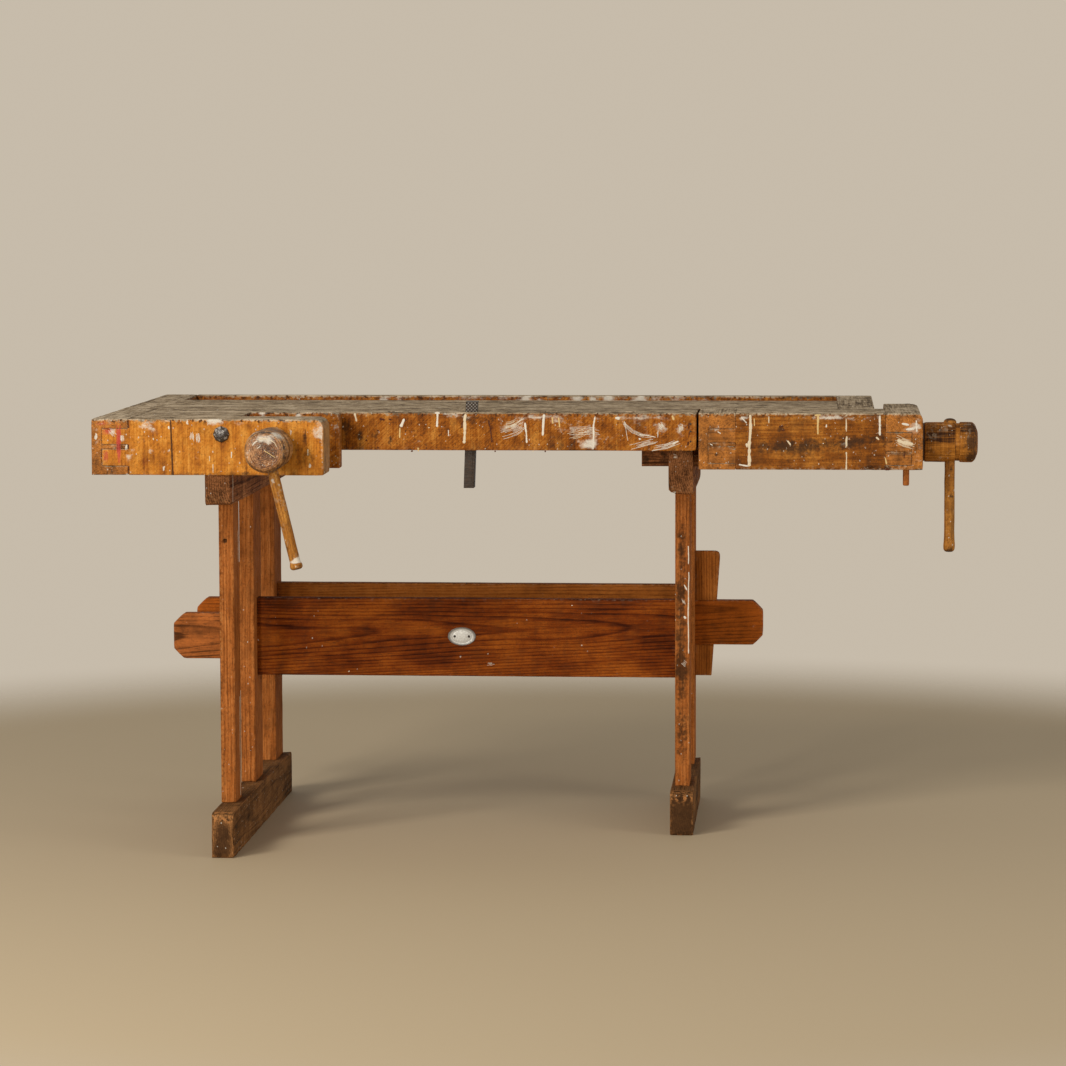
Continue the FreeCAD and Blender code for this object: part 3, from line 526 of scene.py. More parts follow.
def wood(name, tones, *, ring, fibre, patch, dirt, pores, cracks, specks, ring_gap=0.004, upright=0.0,
         lathe=0.0, mottle=0.3, scratches=0.0, end=0.6, edge=0.6, gloss=0.6, shine=0.1, grey_depth=0.0,
         edge_colour=(0.40, 0.30, 0.20), end_colour=(0.16, 0.075, 0.03)):
    """Worn wood: growth rings round the heart, fibres along the grain, patches, dirt and paint specks.

    It reads the wood coordinates, the surface attribute (end grain, weathered, worn) and the marks
    attribute (pale paint; dark stain and painted shade; red paint).
    """
    f = Finish(name)
    grain, place = f.attribute("grain"), f.place()
    end_share, weathered, worn = f.split(f.attribute("surface"))
    pale, stain_and_shade, red = f.split(f.attribute("marks"))

    # Rings, fibres and patches add up to one tone, which a ramp turns into colour.
    sway = f.noise(grain, (1.6, 11, 11))
    radius = f.length(f.stretch(grain, (0, 1, 1)))
    late = f.ramp(f.calc("FRACT", f.calc("DIVIDE", radius + sway * (4 * ring_gap), ring_gap)), LATE_WOOD)
    fibres = f.noise(grain, (9, 300, 300), 5.0, 0.65)
    slanted = f.add("ShaderNodeVectorRotate", {"Vector": place, "Axis": (0, 1, 0), "Angle": SCRATCH_ANGLE})
    tone = late * (ring * 0.9) + (0.5 - 0.33 * ring)
    for part, share in ((fibres, 3.0 * fibre),
                        (f.noise(grain, (6, 18, 18), 4.0, 0.6), 2.8 * patch),
                        (f.noise(place, (55, 12, 5), 3.0, 0.6), 2.6 * upright),
                        (f.noise(place, (290, 50, 14), 3.0, 0.6), 2.4 * upright),
                        (f.noise(grain, (330, 9, 9), 3.0, 0.6), 3.0 * lathe),
                        (f.noise(slanted, (55, 55, 520), 3.0, 0.6), 2.8 * scratches),
                        (f.noise(place, (42, 42, 34), 6.0, 0.66), 2.8 * mottle)):
        if share:
            tone = tone + part.swing(share)
    base = f.ramp(tone, list(zip(TONE_STOPS, tones)))
    cut = f.ramp(tone, [(stop, shade(end_colour, share)) for stop, share in zip(TONE_STOPS, END_SHARES)])
    base = f.mix(f.step(end_share, 0.4, 0.8) * end, base, cut)

    # Dirt, grit, pores and cracks, then the dark stains and painted shade of the marks, and their red paint.
    blots = f.noise(place, (30, 30, 22), 7.0, 0.7)
    grit = f.noise(place, (300, 300, 250), 4.0, 0.7)
    pits = f.noise(grain, (70, 560, 560))
    fine = f.noise(place, (130, 130, 130), 4.0, 0.6)
    crack_line = f.calc("ABSOLUTE", f.noise(grain, (3.5, 34, 34), 4.0, 0.55) - 0.5)
    crack = f.step(crack_line, 0.004, 0.020, 1.0, 0.0) * f.step(blots, 0.44, 0.56)
    dark = f.step(blots, 0.50, 0.70) * dirt
    for part, share in ((f.step(grit, 0.53, 0.64), 0.9 * dirt), (f.step(pits, 0.56, 0.70), pores),
                        (crack, cracks)):
        dark = dark.at_least(part * share)
    base = f.mix(dark, base, DIRT)
    stain_and_shade_share = f.step(stain_and_shade + (blots.swing(1.3) + fine.swing(1.1)), 0.30, 0.80)
    base = f.mix(stain_and_shade_share * 0.85, base, DIRT)
    base = f.mix(f.step(red + grit.swing(0.8), 0.3, 0.8) * 0.8, base, PAINT_RED)

    # Weathered grey on the upper faces, its chipped border, and the worn arrises.
    runs = f.noise(grain, (3, 27, 27), 6.0, 0.7)
    dashes = f.noise(grain, (38, 30, 30), 4.0, 0.7)
    grey_tone = runs * 1.8 + dashes * 2.0 + fibres * 2.2 + fine * 1.2
    grey = f.mix(crack * 0.6, f.ramp(grey_tone + (grey_depth - 3.2), GREY_TOP), DIRT)
    grey_share = f.step(weathered + fine.swing(1.3), 0.34, 0.60)
    base = f.mix(grey_share, base, grey)
    chipped = f.step(weathered, 0.04, 0.45) * f.step(weathered, 0.98, 0.7)
    base = f.mix(chipped * f.step(fine, 0.47, 0.36), base, DIRT)
    base = f.mix(chipped * f.step(fine, 0.60, 0.85), base, SPLINTER)
    base = f.mix(worn * f.step(fine, 0.50, 0.60) * edge, base, edge_colour)
    base = f.mix(worn * f.step(fine, 0.50, 0.38) * edge, base, DIRT)

    # Pale paint: the dabs of the marks, spatter and dust.
    pale_reach = pale + f.noise(place, (62, 62, 105), 6.0, 0.72).swing(1.8)
    spatter = f.specks(place, (88, 88, 50), specks, 0.03, 0.29)
    dust = f.specks(place, (260, 260, 190), specks * 1.6, 0.05, 0.38)
    painted = f.step(pale_reach, 0.30, 0.85).at_least(spatter.at_least(dust * 0.7))
    base = f.mix(painted * 0.85, base, PAINT_WHITE)

    height = fibres * 0.6 + late * -0.2 + painted * 0.35 - dark * 0.7
    rough = grey_share.at_least(painted) * 0.3 + gloss + blots.swing(0.3)
    return f.done(base, rough, height, 0.0012, 0.6, Specular_IOR_Level=shine)


def dark_steel(name, rough_range, shine):
    """Blackened steel: dark metal, rust in the hollows of a noise, fine scratches, and bright where the
    surface attribute's third number says: worn knurl tops with painted highlights on the dog, painted glints
    on the tie bolt.
    """
    f = Finish(name)
    place = f.place()
    blots = f.noise(place, (160, 160, 160), 6.0, 0.7)
    scratch = f.noise(place, (60, 60, 1400), 3.0)
    base = f.ramp(scratch, [(0.3, (0.018, 0.012, 0.008)), (0.7, (0.062, 0.044, 0.030))])
    base = f.mix(f.step(blots, 0.48, 0.70, 0.0, 0.5), base, (0.09, 0.042, 0.02))
    base = f.mix(f.split(f.attribute("surface"))[2], base, (0.50, 0.46, 0.40))
    rough = f.step(blots, 0.3, 0.8, *rough_range)
    return f.done(base, rough, blots + scratch * 0.4, 0.0012, 0.7, Metallic=0.3, Specular_IOR_Level=shine)


def pale_plate(name):
    """A bare nickel-like plate gone dull, dark in its pits."""
    f = Finish(name)
    blots = f.noise(f.place(), (320, 320, 320), 5.0, 0.65)
    rim = f.split(f.attribute("surface"))[2]
    base = f.ramp(blots, [(0.3, (0.62, 0.60, 0.54)), (0.62, (0.47, 0.45, 0.40)), (0.8, (0.16, 0.13, 0.10))])
    base = f.mix(rim * 0.85, base, (0.09, 0.075, 0.06))
    return f.done(base, f.step(blots, 0.3, 0.8, 0.35, 0.6), blots, 0.0005, 0.35, Metallic=0.35)


def thick_paint_and_shade(name):
    """Dried paint in the tint of each stroke, with a faint skin and dirt; its dark tint also draws lines of
    painted shade.
    """
    f = Finish(name)
    tint = f.split(f.attribute("marks"))[0]
    skin = f.noise(f.place(), (260, 260, 260), 5.0, 0.65)
    base = f.ramp(tint, [(WHITE, PAINT_WHITE), (CREAM, PAINT_CREAM), (RED, PAINT_RED), (DARK, PAINT_DARK_AND_SHADE)])
    base = f.mix(f.step(skin, 0.56, 0.74, 0.0, 0.6), base, (0.33, 0.22, 0.12))
    return f.done(base, f.step(skin, 0.3, 0.7, 0.5, 0.7), skin, 0.0005, 0.4, Specular_IOR_Level=0.12)


def plain_wood(name):
    """Clean wood of the hidden pieces, with fibres along X."""
    f = Finish(name)
    fibres = f.noise(f.place(), (12, 260, 260), 4.0, 0.6)
    base = f.ramp(fibres, [(0.25, (0.36, 0.19, 0.075)), (0.75, (0.19, 0.085, 0.03))])
    return f.done(base, f.step(fibres, 0.2, 0.8, 0.5, 0.75), fibres, 0.001, 0.4)


FINISHES = {
    "arm": wood("arm_beech", ((0.70, 0.31, 0.05), (0.48, 0.165, 0.014), (0.19, 0.042, 0.004)), ring=0.05,
        fibre=0.08, patch=0.1, upright=0.38, mottle=0.45, scratches=0.15, dirt=0.42, pores=0.1, cracks=0.1,
        specks=0.12, end=0.8, end_colour=(0.30, 0.165, 0.065)),
    "apron": wood("apron_beech", ((0.46, 0.18, 0.025), (0.285, 0.081, 0.004), (0.09, 0.021, 0.0015)),
        ring=0.05, fibre=0.1, patch=0.2, upright=0.4, mottle=0.55, scratches=0.45, dirt=0.6, pores=0.25,
        cracks=0.15, specks=0.2, end_colour=(0.33, 0.115, 0.02)),
    "slab": wood("slab_beech", ((0.40, 0.155, 0.022), (0.25, 0.071, 0.004), (0.08, 0.018, 0.0015)), ring=0.2,
        fibre=0.4, patch=0.4, mottle=0.4, dirt=0.6, pores=0.4, cracks=0.3, specks=0.12, grey_depth=0.07),
    "tray": wood("tray_beech", ((0.36, 0.14, 0.022), (0.23, 0.068, 0.005), (0.07, 0.017, 0.0015)), ring=0.2,
        fibre=0.4, patch=0.5, mottle=0.4, dirt=0.7, pores=0.4, cracks=0.3, specks=0.16, grey_depth=0.22),
    "tail": wood("tail_beech", ((0.45, 0.17, 0.022), (0.225, 0.066, 0.005), (0.05, 0.014, 0.002)), ring=0.15,
        fibre=0.35, patch=0.4, upright=0.06, mottle=0.5, dirt=0.6, pores=0.5, cracks=0.35, specks=0.22,
        end_colour=(0.45, 0.165, 0.032)),
    "pine": wood("stretcher_pine", ((0.29, 0.072, 0.006), (0.155, 0.029, 0.002), (0.035, 0.005, 0.0005)),
        ring_gap=0.0042, ring=0.55, fibre=0.4, patch=0.65, mottle=0.2, dirt=0.35, pores=0.45, cracks=0.3,
        specks=0.012, edge_colour=(0.24, 0.17, 0.12), shine=0.05, gloss=0.65, end=0.85,
        end_colour=(0.33, 0.10, 0.022)),
    # A lighter copy of the pine: painted light against the shade under the top on the rear stretcher, with
    # an end colour lighter still against the right post's shadow on its stub. The wedges use it too.
    "lit_pine": wood("rear_stretcher_lit_pine", ((0.46, 0.16, 0.03), (0.33, 0.10, 0.014), (0.13, 0.03, 0.003)),
        ring_gap=0.0042, ring=0.45, fibre=0.35, patch=0.3, mottle=0.2, dirt=0.3, pores=0.3, cracks=0.3,
        specks=0.01, shine=0.05, gloss=0.65, end=0.95, end_colour=(0.30, 0.070, 0.006)),
    "post": wood("post_pine", ((0.48, 0.175, 0.044), (0.33, 0.10, 0.02), (0.11, 0.027, 0.005)),
        ring_gap=0.0032, ring=0.34, fibre=0.5, patch=0.2, mottle=0.25, dirt=0.45, pores=0.5, cracks=0.3,
        specks=0.03, edge_colour=(0.38, 0.17, 0.05), shine=0.03, gloss=0.7),
    "bearer": wood("bearer_pine", ((0.46, 0.19, 0.068), (0.285, 0.102, 0.032), (0.08, 0.025, 0.008)),
        ring=0.6, fibre=0.7, patch=0.7, dirt=0.65, pores=0.8, cracks=0.7, specks=0.05, edge=0.4,
        edge_colour=(0.30, 0.15, 0.06), shine=0.03, gloss=0.7, end=0.7, end_colour=(0.245, 0.10, 0.037)),
    "foot": wood("foot_pine", ((0.27, 0.12, 0.04), (0.15, 0.068, 0.023), (0.04, 0.02, 0.009)), ring=0.4,
        fibre=0.5, patch=0.6, dirt=0.6, pores=0.5, cracks=0.4, specks=0.05, end=0.7,
        end_colour=(0.28, 0.125, 0.042), edge=0.9, edge_colour=(0.40, 0.165, 0.05), shine=0.03, gloss=0.75),
    "turned": wood("turned_beech", ((0.60, 0.31, 0.11), (0.27, 0.105, 0.02), (0.035, 0.011, 0.003)),
        ring_gap=0.0035, ring=0.5, fibre=0.5, patch=0.6, mottle=0.6, lathe=0.7, dirt=0.75, pores=0.6,
        cracks=0.6, specks=0.26, end=0.5, end_colour=(0.31, 0.13, 0.045), gloss=0.42, shine=0.35),
    "tail_turned": wood("tail_turned_beech",
        ((0.50, 0.195, 0.03), (0.285, 0.098, 0.010), (0.035, 0.010, 0.002)), ring_gap=0.0035, ring=0.4,
        fibre=0.5, patch=0.4, mottle=0.3, lathe=0.3, dirt=0.3, pores=0.4, cracks=0.5, specks=0.08, end=0.4,
        end_colour=(0.22, 0.085, 0.02)),
    "bar": wood("bar_beech", ((0.52, 0.235, 0.042), (0.32, 0.118, 0.016), (0.08, 0.025, 0.004)), ring=0.2,
        fibre=0.4, patch=0.5, dirt=0.5, pores=0.4, cracks=0.5, specks=0.14),
    "steel": dark_steel("blackened_steel", (0.36, 0.65), 0.25),
    "bolt": dark_steel("hammered_steel", (0.22, 0.5), 0.8),
    "plate": pale_plate("dull_plate"),
    "paint": thick_paint_and_shade("dried_paint_and_shade_lines"),
    "inner": plain_wood("inner_wood"),
}


# Pieces

SLOT_OF = {entry["node"]: entry["material_slot"] for entry in frame["record"]["subparts"]}
SHARP_ANGLE = 0.7
WEATHER_REACH = 0.006
# Which of an attribute's three numbers says how worn a point is, which on steel also carries painted glints
# and highlights, and which is the tint of paint.
WEAR_AND_GLINT = (0, 0, 1)
TINT = (1, 0, 0)


def limits(node):
    """The low and the high corner of a node's box."""
    low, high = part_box(node)
    return np.array(low), np.array(high)


def middle_line(node, along):
    """The middle of a node's box, with zero for its place along one axis."""
    low, high = limits(node)
    return (low + high) / 2 * (1 - AXES[along])


def as_object(name, surface):
    """A plain mesh object of a surface, in the scene."""
    mesh = bpy.data.meshes.new(name)
    mesh.from_pydata(surface.points.tolist(), [], surface.quads.tolist() + surface.tris.tolist())
    made = bpy.data.objects.new(name, mesh)
    bpy.context.scene.collection.objects.link(made)
    return made


def make_piece(name, surface, finish, node=None, body=None, grain=None, facing=None, marks=None):
    """A mesh object from a surface, riding on its node's body and standing for that node."""
    piece = as_object(name, surface)
    mesh = piece.data
    mesh.polygons.foreach_set("use_smooth", np.ones(len(mesh.polygons), bool))
    if not len(surface.quads):
        mesh.set_sharp_from_angle(angle=SHARP_ANGLE)
    for key, values in (("grain", grain), ("surface", facing), ("marks", marks)):
        values = np.zeros((len(surface.points), 3)) if values is None else values
        attribute = mesh.attributes.new(key, "FLOAT_VECTOR", "POINT")
        attribute.data.foreach_set("vector", np.ascontiguousarray(values, np.float32).ravel())
    mesh.materials.append(FINISHES[finish])
    mesh.update()
    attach(piece, body or frame["nodes"][node]["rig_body"])
    if node:
        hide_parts(node)
        node in SLOT_OF


def timber(node, finish, along, surface=None, *, seed, name=None, heart=(0.0, -0.09), lean=(0.0, 0.0),
           top=0.0, strength=0.6, chips=0.0, pale=(), stain_and_shade=(), red=(), bare=None):
    """A wooden piece: worn arrises, wood coordinates, weathered upper faces and its painted marks.

    Outside the two X limits of bare, where given, the wood shows its end-grain colour on every face.
    """
    surface = surface or boxes([limits(node)])
    worn = wear(surface, strength, seed, chips)
    normals = surface.normals()
    below = surface.points[:, Z].max() - surface.points[:, Z]
    upper = np.maximum(smooth_step(normals[:, Z], 0.25, 0.85), 0.7 * np.exp(-below / WEATHER_REACH))
    facing = np.stack([np.abs(normals[:, along]), top * upper, worn], 1)
    if bare:
        outside = (surface.points[:, X] < bare[0]) | (surface.points[:, X] > bare[1])
        facing[outside, 0] = 1
    marks = np.stack([dabs(surface.points, normals, spots) for spots in (pale, stain_and_shade, red)], 1)
    grain = grain_of(surface.points, along, heart, lean, seed)
    make_piece(name or node + "_wood", surface, finish, node, None, grain, facing, marks)


def tail_heights(top, joint):
    """The two height ranges of a corner joint's tails, counted down from the top."""
    top_finger, upper, middle, lower = joint
    high = top - top_finger
    low = high - upper - middle
    return (high - upper, high), (low - lower, low)


def blocks(xs, ys, heights):
    """Boxes that share their X and Y limits, one for each height range."""
    return [((xs[0], ys[0], low), (xs[1], ys[1], high)) for low, high in heights]


def runner_way(node, bottom, top):
    """The cutting box of the tail runner's way through a node, between two heights."""
    low, high = limits(node)
    runner_low, runner_high = limits("tail_runner")
    return ((low[X] - PAST, runner_low[Y] - SLIDE_GAP, bottom),
            (high[X] + PAST, runner_high[Y] + SLIDE_GAP, top))


# Corner joints: heights of the top finger, the upper tail, the finger between and the lower tail.
ARM_JOINT = (0.018, 0.0295, 0.0085, 0.031)
BLOCK_JOINT = (0.0295, 0.027, 0.006, 0.033)
END_JOINT = (0.036, 0.037, 0.003, 0.022)

# Dog slots: their pitch, their half sizes, how they lean, how far a dog's middle at the bench top is off
# the middle of its leaning box, and how far the first one of the tail vise is from the jaw's face.
DOG_PITCH = 0.150
DOG_ROOM = (0.0105, 0.013, 0.0)
DOG_LEAN = math.tan(math.radians(2.1))
DOG_SHIFT = 0.0023
TAIL_DOG = 0.146
BENCH_TOP = limits("dog_strip")[1][Z]


def dog_slots(places, front, low):
    """Cutting boxes of the dog slots at these places along a board."""
    return [(np.array((x, front, low - PAST)) - DOG_ROOM, np.array((x, front, BENCH_TOP + PAST)) + DOG_ROOM)
            for x in places]


def lean_slots(surface, places, front):
    """Slant the slots' walls as the dogs stand: X follows the height below the top."""
    for x in places:
        near = (np.abs(surface.points[:, X] - x) < DOG_ROOM[0] + NEAR)
        near &= np.abs(surface.points[:, Y] - front) < DOG_ROOM[1] + NEAR
        surface.points[near, X] += (surface.points[near, Z] - BENCH_TOP) * DOG_LEAN
    return surface


def dog_middle():
    """Where the dog stands: its X at the bench top and its Y."""
    x, y, _ = middle_line("bench_dog", Z)
    return x + DOG_SHIFT, y


# Marks on front faces: soft oval spots of (x, z, reach in x, reach in z, amount), in millimetres.
APRON_PALE = [
    (-54, 797, 26, 17, 0.42), (84, 765, 18, 8, 0.95), (97, 768, 9, 12, 0.45), (66, 790, 40, 7, 0.32),
    (225, 800, 8, 8, 0.6), (262, 797, 7, 10, 0.6), (-150, 817, 34, 7, 0.42), (-20, 818, 40, 6, 0.36),
    (180, 816, 60, 5, 0.4), (-175, 822, 22, 4, 0.5), (150, 785, 110, 40, 0.17), (95, 790, 24, 14, 0.16),
    (230, 795, 50, 30, 0.15), (20, 815, 60, 8, 0.3), (-100, 800, 40, 20, 0.14), (-330, 764, 14, 9, 0.3),
    (-250, 770, 22, 9, 0.25), (30, 800, 20, 12, 0.28),
]
# Dark spots on the apron: stains; the tall spot at x -372, just right of the chop, is the chop's shadow
# painted on.
APRON_STAIN_AND_CHOP_SHADOW = [
    (-300, 785, 22, 30, 0.22), (-250, 800, 26, 22, 0.18), (-180, 770, 30, 25, 0.14),
    (-115, 813, 40, 9, 0.55), (-304, 812, 6, 3, 1.2), (-345, 780, 4, 4, 1.0), (40, 760, 120, 5, 0.35),
    (-372, 780, 14, 60, 0.5), (-348, 785, 6, 40, 0.5), (-318, 782, 5, 40, 0.42), (-288, 780, 5, 36, 0.36),
    (-235, 785, 5, 30, 0.3), (-132, 785, 6, 30, 0.35), (-60, 762, 40, 7, 0.35), (140, 775, 14, 30, 0.25),
    (205, 800, 30, 12, 0.25), (-330, 812, 5, 3, 0.9), (-290, 772, 4, 5, 0.8), (-225, 762, 14, 5, 0.5),
    (-345, 758, 30, 6, 0.4),
]
RAIL_PALE = [
    (-365, 816, 9, 8, 0.9), (-335, 818, 7, 6, 0.8), (-75, 818, 11, 8, 1.0), (-45, 816, 6, 6, 0.6),
    (30, 818, 9, 8, 0.9), (62, 816, 7, 8, 1.0), (96, 818, 9, 8, 0.9), (160, 818, 10, 8, 0.9),
    (-200, 818, 160, 9, 0.45), (200, 818, 200, 9, 0.45),
]
CAP_RED = [(-769, 780, 3.2, 45, 0.9), (-800, 816, 18, 8, 0.6)]
CAP_PALE = [(-776, 802, 6, 4, 0.4), (-811, 790, 7, 34, 0.28), (-790, 817, 28, 9, 0.34),
            (-790, 730, 24, 8, 0.25)]


def worktop():
    """The slab: dog strip, three boards, tray floor, back rail and the two end caps."""
    box = low, high = limits("dog_strip")
    dog_x, dog_y = dog_middle()
    places = dog_x + DOG_PITCH * np.arange(-1, 3)
    strip = boxes([box], dog_slots(places, dog_y, low[Z]), cell=0.007)
    cut_corner(strip, box, {X: 1, Z: -1}, 0.006, ROUND)
    timber("dog_strip", "apron", X, lean_slots(strip, places, dog_y), top=1.0, seed=1, strength=0.8,
           chips=0.006, pale=APRON_PALE, stain_and_shade=APRON_STAIN_AND_CHOP_SHADOW)
    for number, (part, finish) in enumerate((("front", "slab"), ("middle", "apron"), ("rear", "slab"))):
        timber("worktop_" + part + "_board", finish, X, name="worktop_" + part + "_plank", top=1.0,
               seed=2 + number, strength=0.5, heart=(0.03 * number - 0.02, -0.11))
    timber("tray_floor", "tray", X, name="tray_bottom_board", top=1.0, seed=6)
    timber("back_rail", "apron", X, top=1.0, seed=7, strength=0.7, chips=0.003, pale=RAIL_PALE)

    box = low, high = limits("left_end_cap")
    arm_low, arm_high = limits("vise_arm")
    tails = tail_heights(high[Z], ARM_JOINT)
    cap = boxes([box], blocks((arm_low[X], high[X] + PAST), (low[Y] - PAST, arm_high[Y]), tails))
    cut_corner(cap, box, {X: 1, Y: 1}, 0.012, ROUND)
    cut_corner(cap, box, {X: -1, Y: 1}, 0.010, ROUND)
    timber("left_end_cap", "tail", Y, cap, top=1.0, seed=8, strength=0.8, chips=0.0025, heart=(-0.12, 0.02),
           red=CAP_RED, pale=CAP_PALE)

    box = limits("right_end_cap")
    way = runner_way("right_end_cap", box[0][Z] - PAST, limits("worktop_middle_board")[0][Z])
    timber("right_end_cap", "tail", Y, boxes([box], [way]), top=1.0, seed=9, strength=0.8, chips=0.003)


ARM_PALE = [
    (-722, 813, 17, 7, 0.62), (-704, 806, 14, 9, 0.4), (-780, 800, 8, 9, 0.7), (-764, 789, 5, 9, 0.75),
    (-752, 752, 11, 11, 0.5), (-744, 764, 8, 6, 0.4), (-711, 766, 6, 11, 0.6), (-685, 765, 6, 5, 0.5),
    (-400, 801, 11, 15, 0.75), (-560, 815, 60, 6, 0.32), (-588, 822, 16, 4, 0.9), (-690, 822, 50, 4, 0.45),
    (-470, 823, 80, 4, 0.4), (-640, 770, 30, 14, 0.22), (-615, 745, 26, 16, 0.18), (-740, 785, 20, 16, 0.25),
    (-391, 770, 3, 60, 0.5),
]
ARM_RED = [
    (-769, 780, 4.0, 38, 1.3), (-790, 801, 16, 6, 0.8), (-794, 757, 9, 20, 0.6), (-750, 795, 10, 8, 0.4),
]
ARM_CRACK = [(-672 + 0.03 * drop, 822 - drop, 1.5, 8, 1.25) for drop in range(0, 100, 9)]
# Dark spots on the arm: the crack and stains; the spots at x -415, -434 and -430, right of and below the
# hub, are the hub's shadow painted on.
ARM_STAIN_AND_HUB_SHADOW = [
    *ARM_CRACK, (-532, 738, 2.5, 16, 0.5), (-421, 795, 2.5, 16, 0.7), (-560, 723, 180, 4, 0.5),
    (-415, 760, 12, 40, 0.4), (-548, 790, 20, 24, 0.15), (-535, 735, 40, 14, 0.12),
    (-434, 772, 14, 28, 0.36), (-430, 742, 18, 16, 0.3),
]
CHOP_PALE = [
    (-526, 822, 7, 7, 0.85), (-456, 821, 8, 6, 0.8), (-490, 824, 60, 5, 0.22), (-389, 800, 8, 14, 0.35),
]
# Extra grid lines along X, where the arm's crack and red lines run.
FINE_LINES = np.concatenate([np.arange(-676, -664, 0.9), np.arange(-777, -761, 1.6)]) * MM


def shoulder_vise():
    """Arm, spacer and chop."""
    box = low, high = limits("vise_arm")
    root = limits("left_end_cap")[1][X]
    tails = blocks((low[X], root + LAP), (low[Y], high[Y]), tail_heights(high[Z], ARM_JOINT))
    arm = boxes([((root, low[Y], low[Z]), high), *tails], cell=0.0065, extra=FINE_LINES)
    cut_corner(arm, box, {X: 1, Z: 1}, 0.018, ROUND)
    cut_corner(arm, box, {X: 1, Z: -1}, 0.004, ROUND)
    timber("vise_arm", "arm", X, arm, heart=(0.12, 0.01), top=1.0, seed=11, strength=0.75, chips=0.004,
           pale=ARM_PALE, red=ARM_RED, stain_and_shade=ARM_STAIN_AND_HUB_SHADOW)
    timber("arm_spacer", "apron", X, top=1.0, seed=12, strength=0.5)

    box = limits("front_chop")
    chop = boxes([box], cell=0.006)
    for side in (1, -1):
        cut_corner(chop, box, {X: side, Z: 1}, 0.015, ROUND)
    timber("front_chop", "apron", X, chop, heart=(0.06, 0.0), top=1.0, seed=13, strength=0.8, chips=0.002,
           pale=CHOP_PALE)


TAIL_PALE = [
    (690, 797, 12, 11, 0.6), (706, 800, 8, 24, 0.55), (708, 750, 7, 22, 0.4), (560, 816, 110, 5, 0.42),
    (330, 795, 9, 16, 0.35), (382, 815, 10, 7, 0.6), (545, 817, 18, 6, 0.6), (640, 806, 22, 7, 0.3),
    (573, 765, 8, 12, 0.4), (680, 735, 12, 9, 0.35), (470, 750, 90, 10, 0.14), (330, 760, 14, 14, 0.22),
]
TAIL_STAIN = [
    (520, 763, 110, 18, 0.52), (610, 775, 70, 16, 0.46), (440, 760, 60, 15, 0.38), (450, 795, 7, 6, 0.8),
    (329, 747, 4, 4, 1.1), (682, 747, 2.5, 5, 1.2), (332, 722, 6, 4, 0.8), (470, 732, 30, 8, 0.35),
    (590, 724, 60, 5, 0.35), (420, 800, 14, 14, 0.3), (650, 722, 9, 6, 1.1),
]
# Painted shade: a broad dark spot over the runner's end, which lies in shadow.
RUNNER_SHADE = [(215, 722, 60, 30, 0.55)]


def tail_vise():
    """Jaw block, front board, end block, lid and runner of the tail vise."""
    low, high = limits("tail_jaw_block")
    board_low, board_high = limits("tail_front_board")
    end_box = end_low, end_high = limits("tail_end_block")
    block_tails = tail_heights(high[Z], BLOCK_JOINT)
    end_tails = tail_heights(high[Z], END_JOINT)
    depth = (board_low[Y], board_high[Y])
    cut_depth = (board_low[Y] - PAST, board_high[Y])

    block = boxes([(low, high)], blocks((board_low[X], high[X] + PAST), cut_depth, block_tails))
    timber("tail_jaw_block", "tail", Y, block, top=1.0, seed=21, strength=0.4, heart=(-0.1, 0.03),
           pale=TAIL_PALE, stain_and_shade=TAIL_STAIN)

    dog_y = dog_middle()[1]
    places = low[X] + TAIL_DOG + DOG_PITCH * np.arange(2)
    board = boxes([((high[X], depth[0], low[Z]), (end_low[X], depth[1], high[Z])),
                   *blocks((board_low[X], high[X] + LAP), depth, block_tails),
                   *blocks((end_low[X] - LAP, board_high[X]), depth, end_tails)],
                  dog_slots(places, dog_y, low[Z]), cell=0.007)
    timber("tail_front_board", "tail", X, lean_slots(board, places, dog_y), heart=(0.10, -0.02),
           lean=(0.0, 0.02), top=1.0, seed=22, strength=0.8, chips=0.005, pale=TAIL_PALE, stain_and_shade=TAIL_STAIN,
           bare=(high[X], end_low[X]))

    sockets = blocks((end_low[X] - PAST, board_high[X]), cut_depth, end_tails)
    end = boxes([end_box], sockets, cell=0.007)
    cut_corner(end, end_box, {X: 1, Z: 1}, 0.014, ROUND)
    timber("tail_end_block", "tail", Y, end, top=1.0, seed=23, strength=0.9, chips=0.003, heart=(0.0, -0.08),
           pale=TAIL_PALE, stain_and_shade=TAIL_STAIN)
    timber("tail_top_board", "tail", X, name="tail_lid_wood", top=1.0, seed=24)
    timber("tail_runner", "bearer", X, seed=25, heart=(0.05, 0.01), stain_and_shade=RUNNER_SHADE)


FOOT_STAIN = {
    "left_foot": [(-590, 45, 16, 32, 1.05), (-588, 12, 18, 16, 0.9)],
    "right_foot": [(259, 58, 17, 20, 2.6), (259, 32, 15, 18, 2.4), (259, 9, 20, 12, 2.6)],
}
RIGHT_POST_STAIN = [
    (256, 560, 14, 60, 0.46), (256, 470, 15, 70, 0.72), (256, 330, 15, 90, 0.76), (257, 180, 14, 80, 0.64),
]
FRONT_POST_MORE = 0.009
# The small hole in the left front post: how far in from the left, how high, and half its width.
HOLE_IN = 0.0125
HOLE_HEIGHT = 0.5855
HOLE_HALF = 0.0034


